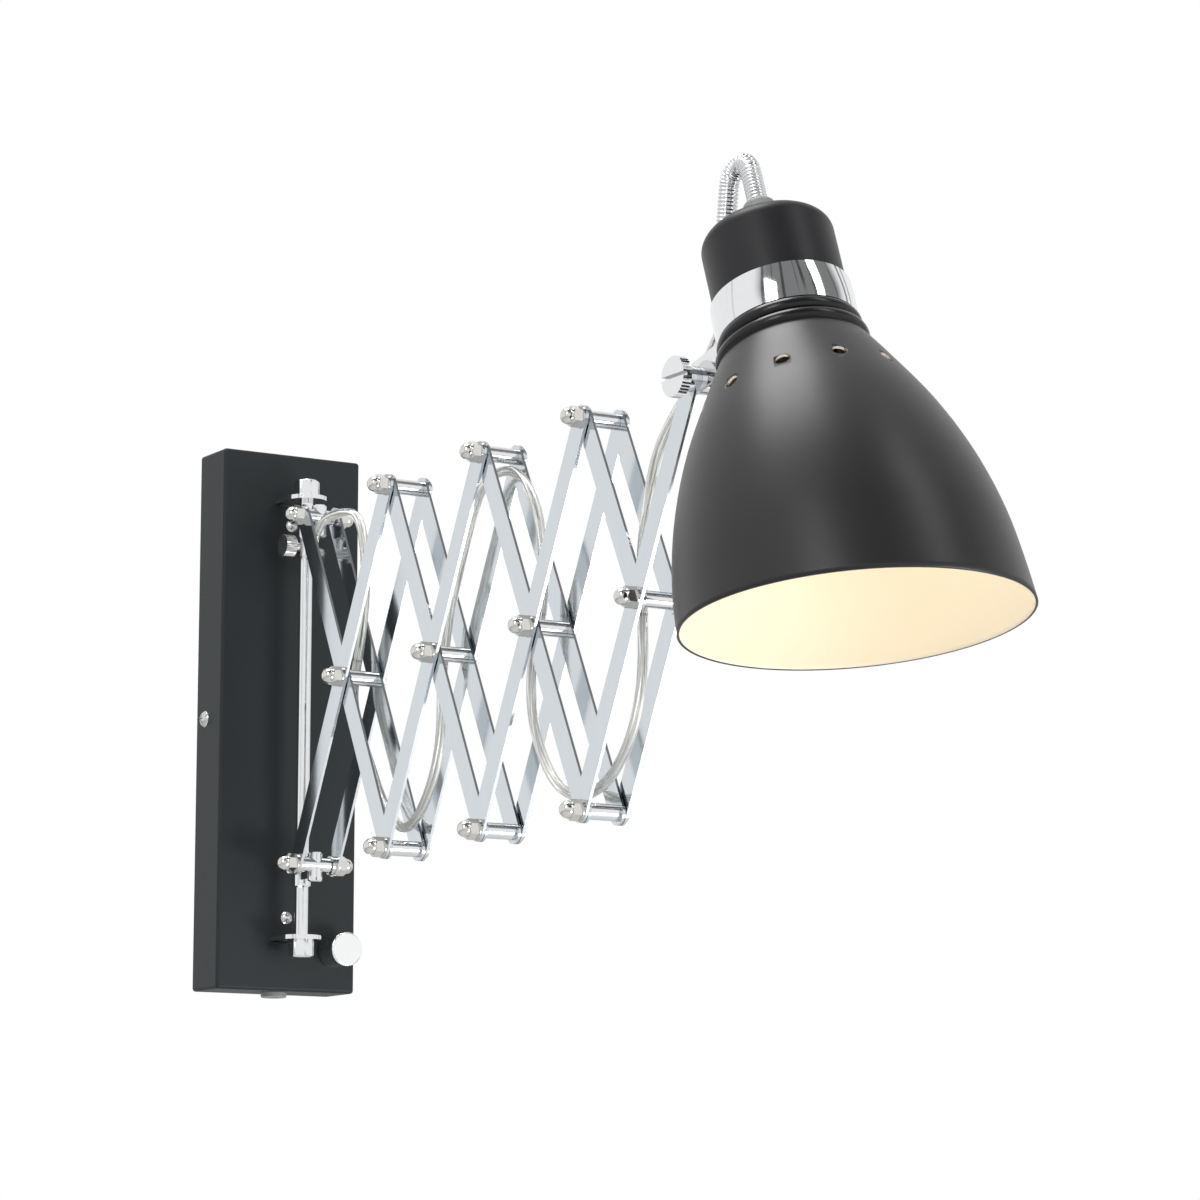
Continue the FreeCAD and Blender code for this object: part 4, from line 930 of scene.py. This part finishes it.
def sweep(bm, line, sides, radius, segments, index):
    """Add a round tube with closed ends along a line to a mesh, with one material."""
    rings = []
    for point, (u, v) in zip(line, sides):
        ring = []
        for k in range(segments):
            turn = 2 * math.pi * k / segments
            ring.append(bm.verts.new(point + (u * math.cos(turn) + v * math.sin(turn)) * radius))
        rings.append(ring)
    for a, b in zip(rings, rings[1:]):
        for k in range(segments):
            m = (k + 1) % segments
            face = bm.faces.new((a[k], a[m], b[m], b[k]))
            face.smooth = True
            face.material_index = index
    bm.faces.new(rings[0][::-1]).material_index = index
    bm.faces.new(rings[-1]).material_index = index


core_radius = 0.00075
core_offset = 0.00095
core_pitch = 0.140
line_sides = frames_along(cable_line)
travelled = [0.0]
for a, b in zip(cable_line, cable_line[1:]):
    travelled.append(travelled[-1] + (b - a).length)


def core_line(start_turn):
    """Middle line of one core, wound about the cable's own."""
    spots = []
    for point, (u, v), along in zip(cable_line, line_sides, travelled):
        turn = start_turn + 2 * math.pi * along / core_pitch
        spots.append(point + (u * math.cos(turn) + v * math.sin(turn)) * core_offset)
    return spots


cores = [core_line(0.0), core_line(math.pi)]
print("two cores with a twist every", core_pitch * 1000, "mm")

# %% Cable finishes
clear_pvc = finish("clear_pvc", (0.93, 0.93, 0.91), 0.0, 0.10, vary=0.03, scale=500)
pvc = clear_pvc.node_tree.nodes["Principled BSDF"]
pvc.inputs["Transmission Weight"].default_value = 0.92
pvc.inputs["IOR"].default_value = 1.42
tinned_core = finish("tinned_core", (0.82, 0.82, 0.79), 1.0, 0.34, vary=0.05, scale=800, tone=0.06)

# %% [markdown]
# Each length starts and ends in the middle of a link, where the cable only follows
# that link. Round the pivot between, it bends from one link to the next.

# %% Lengths of cable
stops = [
    ("cable_from_box", "cable_loop", "wall", "upper_sleeve", None, (-6.3, -74.5, 105),
     (14, -44, 100), (-2, -68, 97)),
    ("cable_over_sleeve", "cable_on_link_1", "upper_sleeve", "falling_1", (-6.3, -74.5, 105),
     (3.5, -110.8, 26), (6, -92, 116), (6, -111, 74)),
    ("cable_to_link_2", "cable_on_link_2", "falling_1", "rising_2", (3.5, -110.8, 26),
     (2.8, -213.5, 9), (0, -147, 0), (0, -200, 0)),
    ("cable_to_link_3", "cable_on_link_3", "rising_2", "falling_3", (2.8, -213.5, 9),
     (2, -322.5, 23), (0, -247, 0), (0, -305, 0)),
    ("cable_to_link_4", "cable_on_link_4", "falling_3", "rising_4", (2, -322.5, 23),
     (-2.6, -431.5, 7), (0, -339, 0), (0, -411, 0)),
    ("cable_to_head", "cable_on_head", "rising_4", "head", (-2.6, -431.5, 7), None,
     (0, -455, 90), (0, -500, 157)),
]


def nearest_spot(point, default):
    """Index on the cable's line nearest to a place given in millimetres."""
    if point is None:
        return default
    target = Vector(point) / 1000
    return min(range(len(cable_line)), key=lambda i: (cable_line[i] - target).length)


for name, node, body_a, body_b, first, last, bend_from, bend_to in stops:
    i0 = nearest_spot(first, 0)
    i1 = nearest_spot(last, len(cable_line) - 1)
    span = slice(i0, i1 + 1)
    bm = bmesh.new()
    sweep(bm, cable_line[span], line_sides[span], cable_radius, 20, 0)
    for core in cores:
        sweep(bm, core[span], line_sides[span], core_radius, 8, 1)
    mesh = bpy.data.meshes.new(name)
    bm.to_mesh(mesh)
    bm.free()
    length = keep_mesh(name, mesh, clear_pvc, tinned_core)
    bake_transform(length)
    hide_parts(node)

# %% [markdown]
# ## The ribbed metal hose
# Over the top of the cap the cable runs in a bright wound hose. Its ribs follow the
# bend, so Geometry Nodes carry them: the curve is cut into even steps, every step
# gets a radius that swells and narrows, and Curve to Mesh draws a circle along it.

# %% Middle line of the hose
hose_spots = 60
hose_line = [head_axes @ on_hose(hose_length * i / hose_spots)[0] for i in range(hose_spots + 1)]
hose_data = bpy.data.curves.new("hose_line", "CURVE")
hose_data.dimensions = "3D"
hose_spline = hose_data.splines.new("POLY")
hose_spline.points.add(len(hose_line) - 1)
for spot, point in zip(hose_spline.points, hose_line):
    spot.co = (*point, 1)
hose_start = bpy.data.objects.new("hose_start", hose_data)
bpy.context.collection.objects.link(hose_start)
print("hose", round(hose_length * 1000, 1), "mm")

# %% Ribs of the hose
ribs, ribs_in, ribs_out = new_tree("ribbed_hose", Ribs=51, Crest=0.00525, Valley=0.00470)
steps_per_rib = 8
fine = add(ribs, "ShaderNodeMath", [(0, ribs_in.outputs["Ribs"]), (1, float(steps_per_rib))],
           operation="MULTIPLY")
fine_end = add(ribs, "ShaderNodeMath", [(0, fine.outputs[0]), (1, 1.0)], operation="ADD")
even = add(ribs, "GeometryNodeResampleCurve", [("Curve", ribs_in.outputs["Geometry"]),
                                               ("Count", fine_end.outputs[0])])
number = add(ribs, "GeometryNodeInputIndex")
turn_share = add(ribs, "ShaderNodeMath", [(0, number.outputs[0]),
                                          (1, 2 * math.pi / steps_per_rib)], operation="MULTIPLY")
wave = add(ribs, "ShaderNodeMath", [(0, turn_share.outputs[0])], operation="COSINE")
swell = add(ribs, "ShaderNodeMapRange", [("Value", wave.outputs[0]), ("From Min", -0.8),
                                         ("From Max", 0.8), ("To Min", ribs_in.outputs["Crest"]),
                                         ("To Max", ribs_in.outputs["Valley"])])
unit = add(ribs, "GeometryNodeCurvePrimitiveCircle", [("Resolution", 28), ("Radius", 1.0)])
skin = add(ribs, "GeometryNodeCurveToMesh", [("Curve", even.outputs[0]),
                                             ("Profile Curve", unit.outputs[0]),
                                             ("Scale", swell.outputs[0])])
rounded = add(ribs, "GeometryNodeSetShadeSmooth", [("Geometry", skin.outputs[0])])
real = add(ribs, "GeometryNodeRealizeInstances", [("Geometry", rounded.outputs[0])])
hose_chrome = finish("wound_chrome", (0.74, 0.75, 0.76), 1.0, 0.14, vary=0.04, scale=500, tone=0.05)
painted = add(ribs, "GeometryNodeSetMaterial", [("Geometry", real.outputs[0]),
                                                ("Material", hose_chrome)])
ribs.links.new(painted.outputs[0], ribs_out.inputs["Geometry"])
hose_wall = 0.0013
hose = grown("ribbed_hose", hose_start, ribs)
bm = bmesh.new()
bm.from_mesh(hose.data)
bmesh.ops.recalc_face_normals(bm, faces=bm.faces)
far_out = max(bm.faces, key=lambda face: (head_axes.inverted() @ face.calc_center_median()).z)
centre = head_axes @ on_hose(hose_rise)[0]
if far_out.normal.dot(far_out.calc_center_median() - centre) < 0:
    bmesh.ops.reverse_faces(bm, faces=bm.faces)
bm.to_mesh(hose.data)
bm.free()
wall = hose.modifiers.new("wall", "SOLIDIFY")
wall.thickness = hose_wall
wall.offset = -1
print("hose wall", hose_wall * 1000, "mm")
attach(hose, "head")
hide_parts("cable_hose")

# %% [markdown]
# ## The floor's finish
# The floor is plain and pale. By the same Light Path rule as the world, the camera
# sees it a little whiter than it is, and it stays an ordinary pale surface for the
# light itself, so that it can hold the lamp's shadow.

# %% Floor finish
floor_lift = 0.30
pale = bpy.data.materials.new("pale_floor")
pale.use_nodes = True
pale_shader = pale.node_tree.nodes["Principled BSDF"]
pale_shader.inputs["Base Color"].default_value = (0.86, 0.86, 0.86, 1)
pale_shader.inputs["Roughness"].default_value = 0.8
pale_shader.inputs["Emission Color"].default_value = (1, 1, 1, 1)
pale_rays = pale.node_tree.nodes.new("ShaderNodeLightPath")
pale_level = pale.node_tree.nodes.new("ShaderNodeMath")
pale_level.operation = "MULTIPLY"
pale_level.inputs[1].default_value = floor_lift
pale.node_tree.links.new(pale_rays.outputs["Is Camera Ray"], pale_level.inputs[0])
pale.node_tree.links.new(pale_level.outputs[0], pale_shader.inputs["Emission Strength"])
floor_mesh.materials.append(pale)
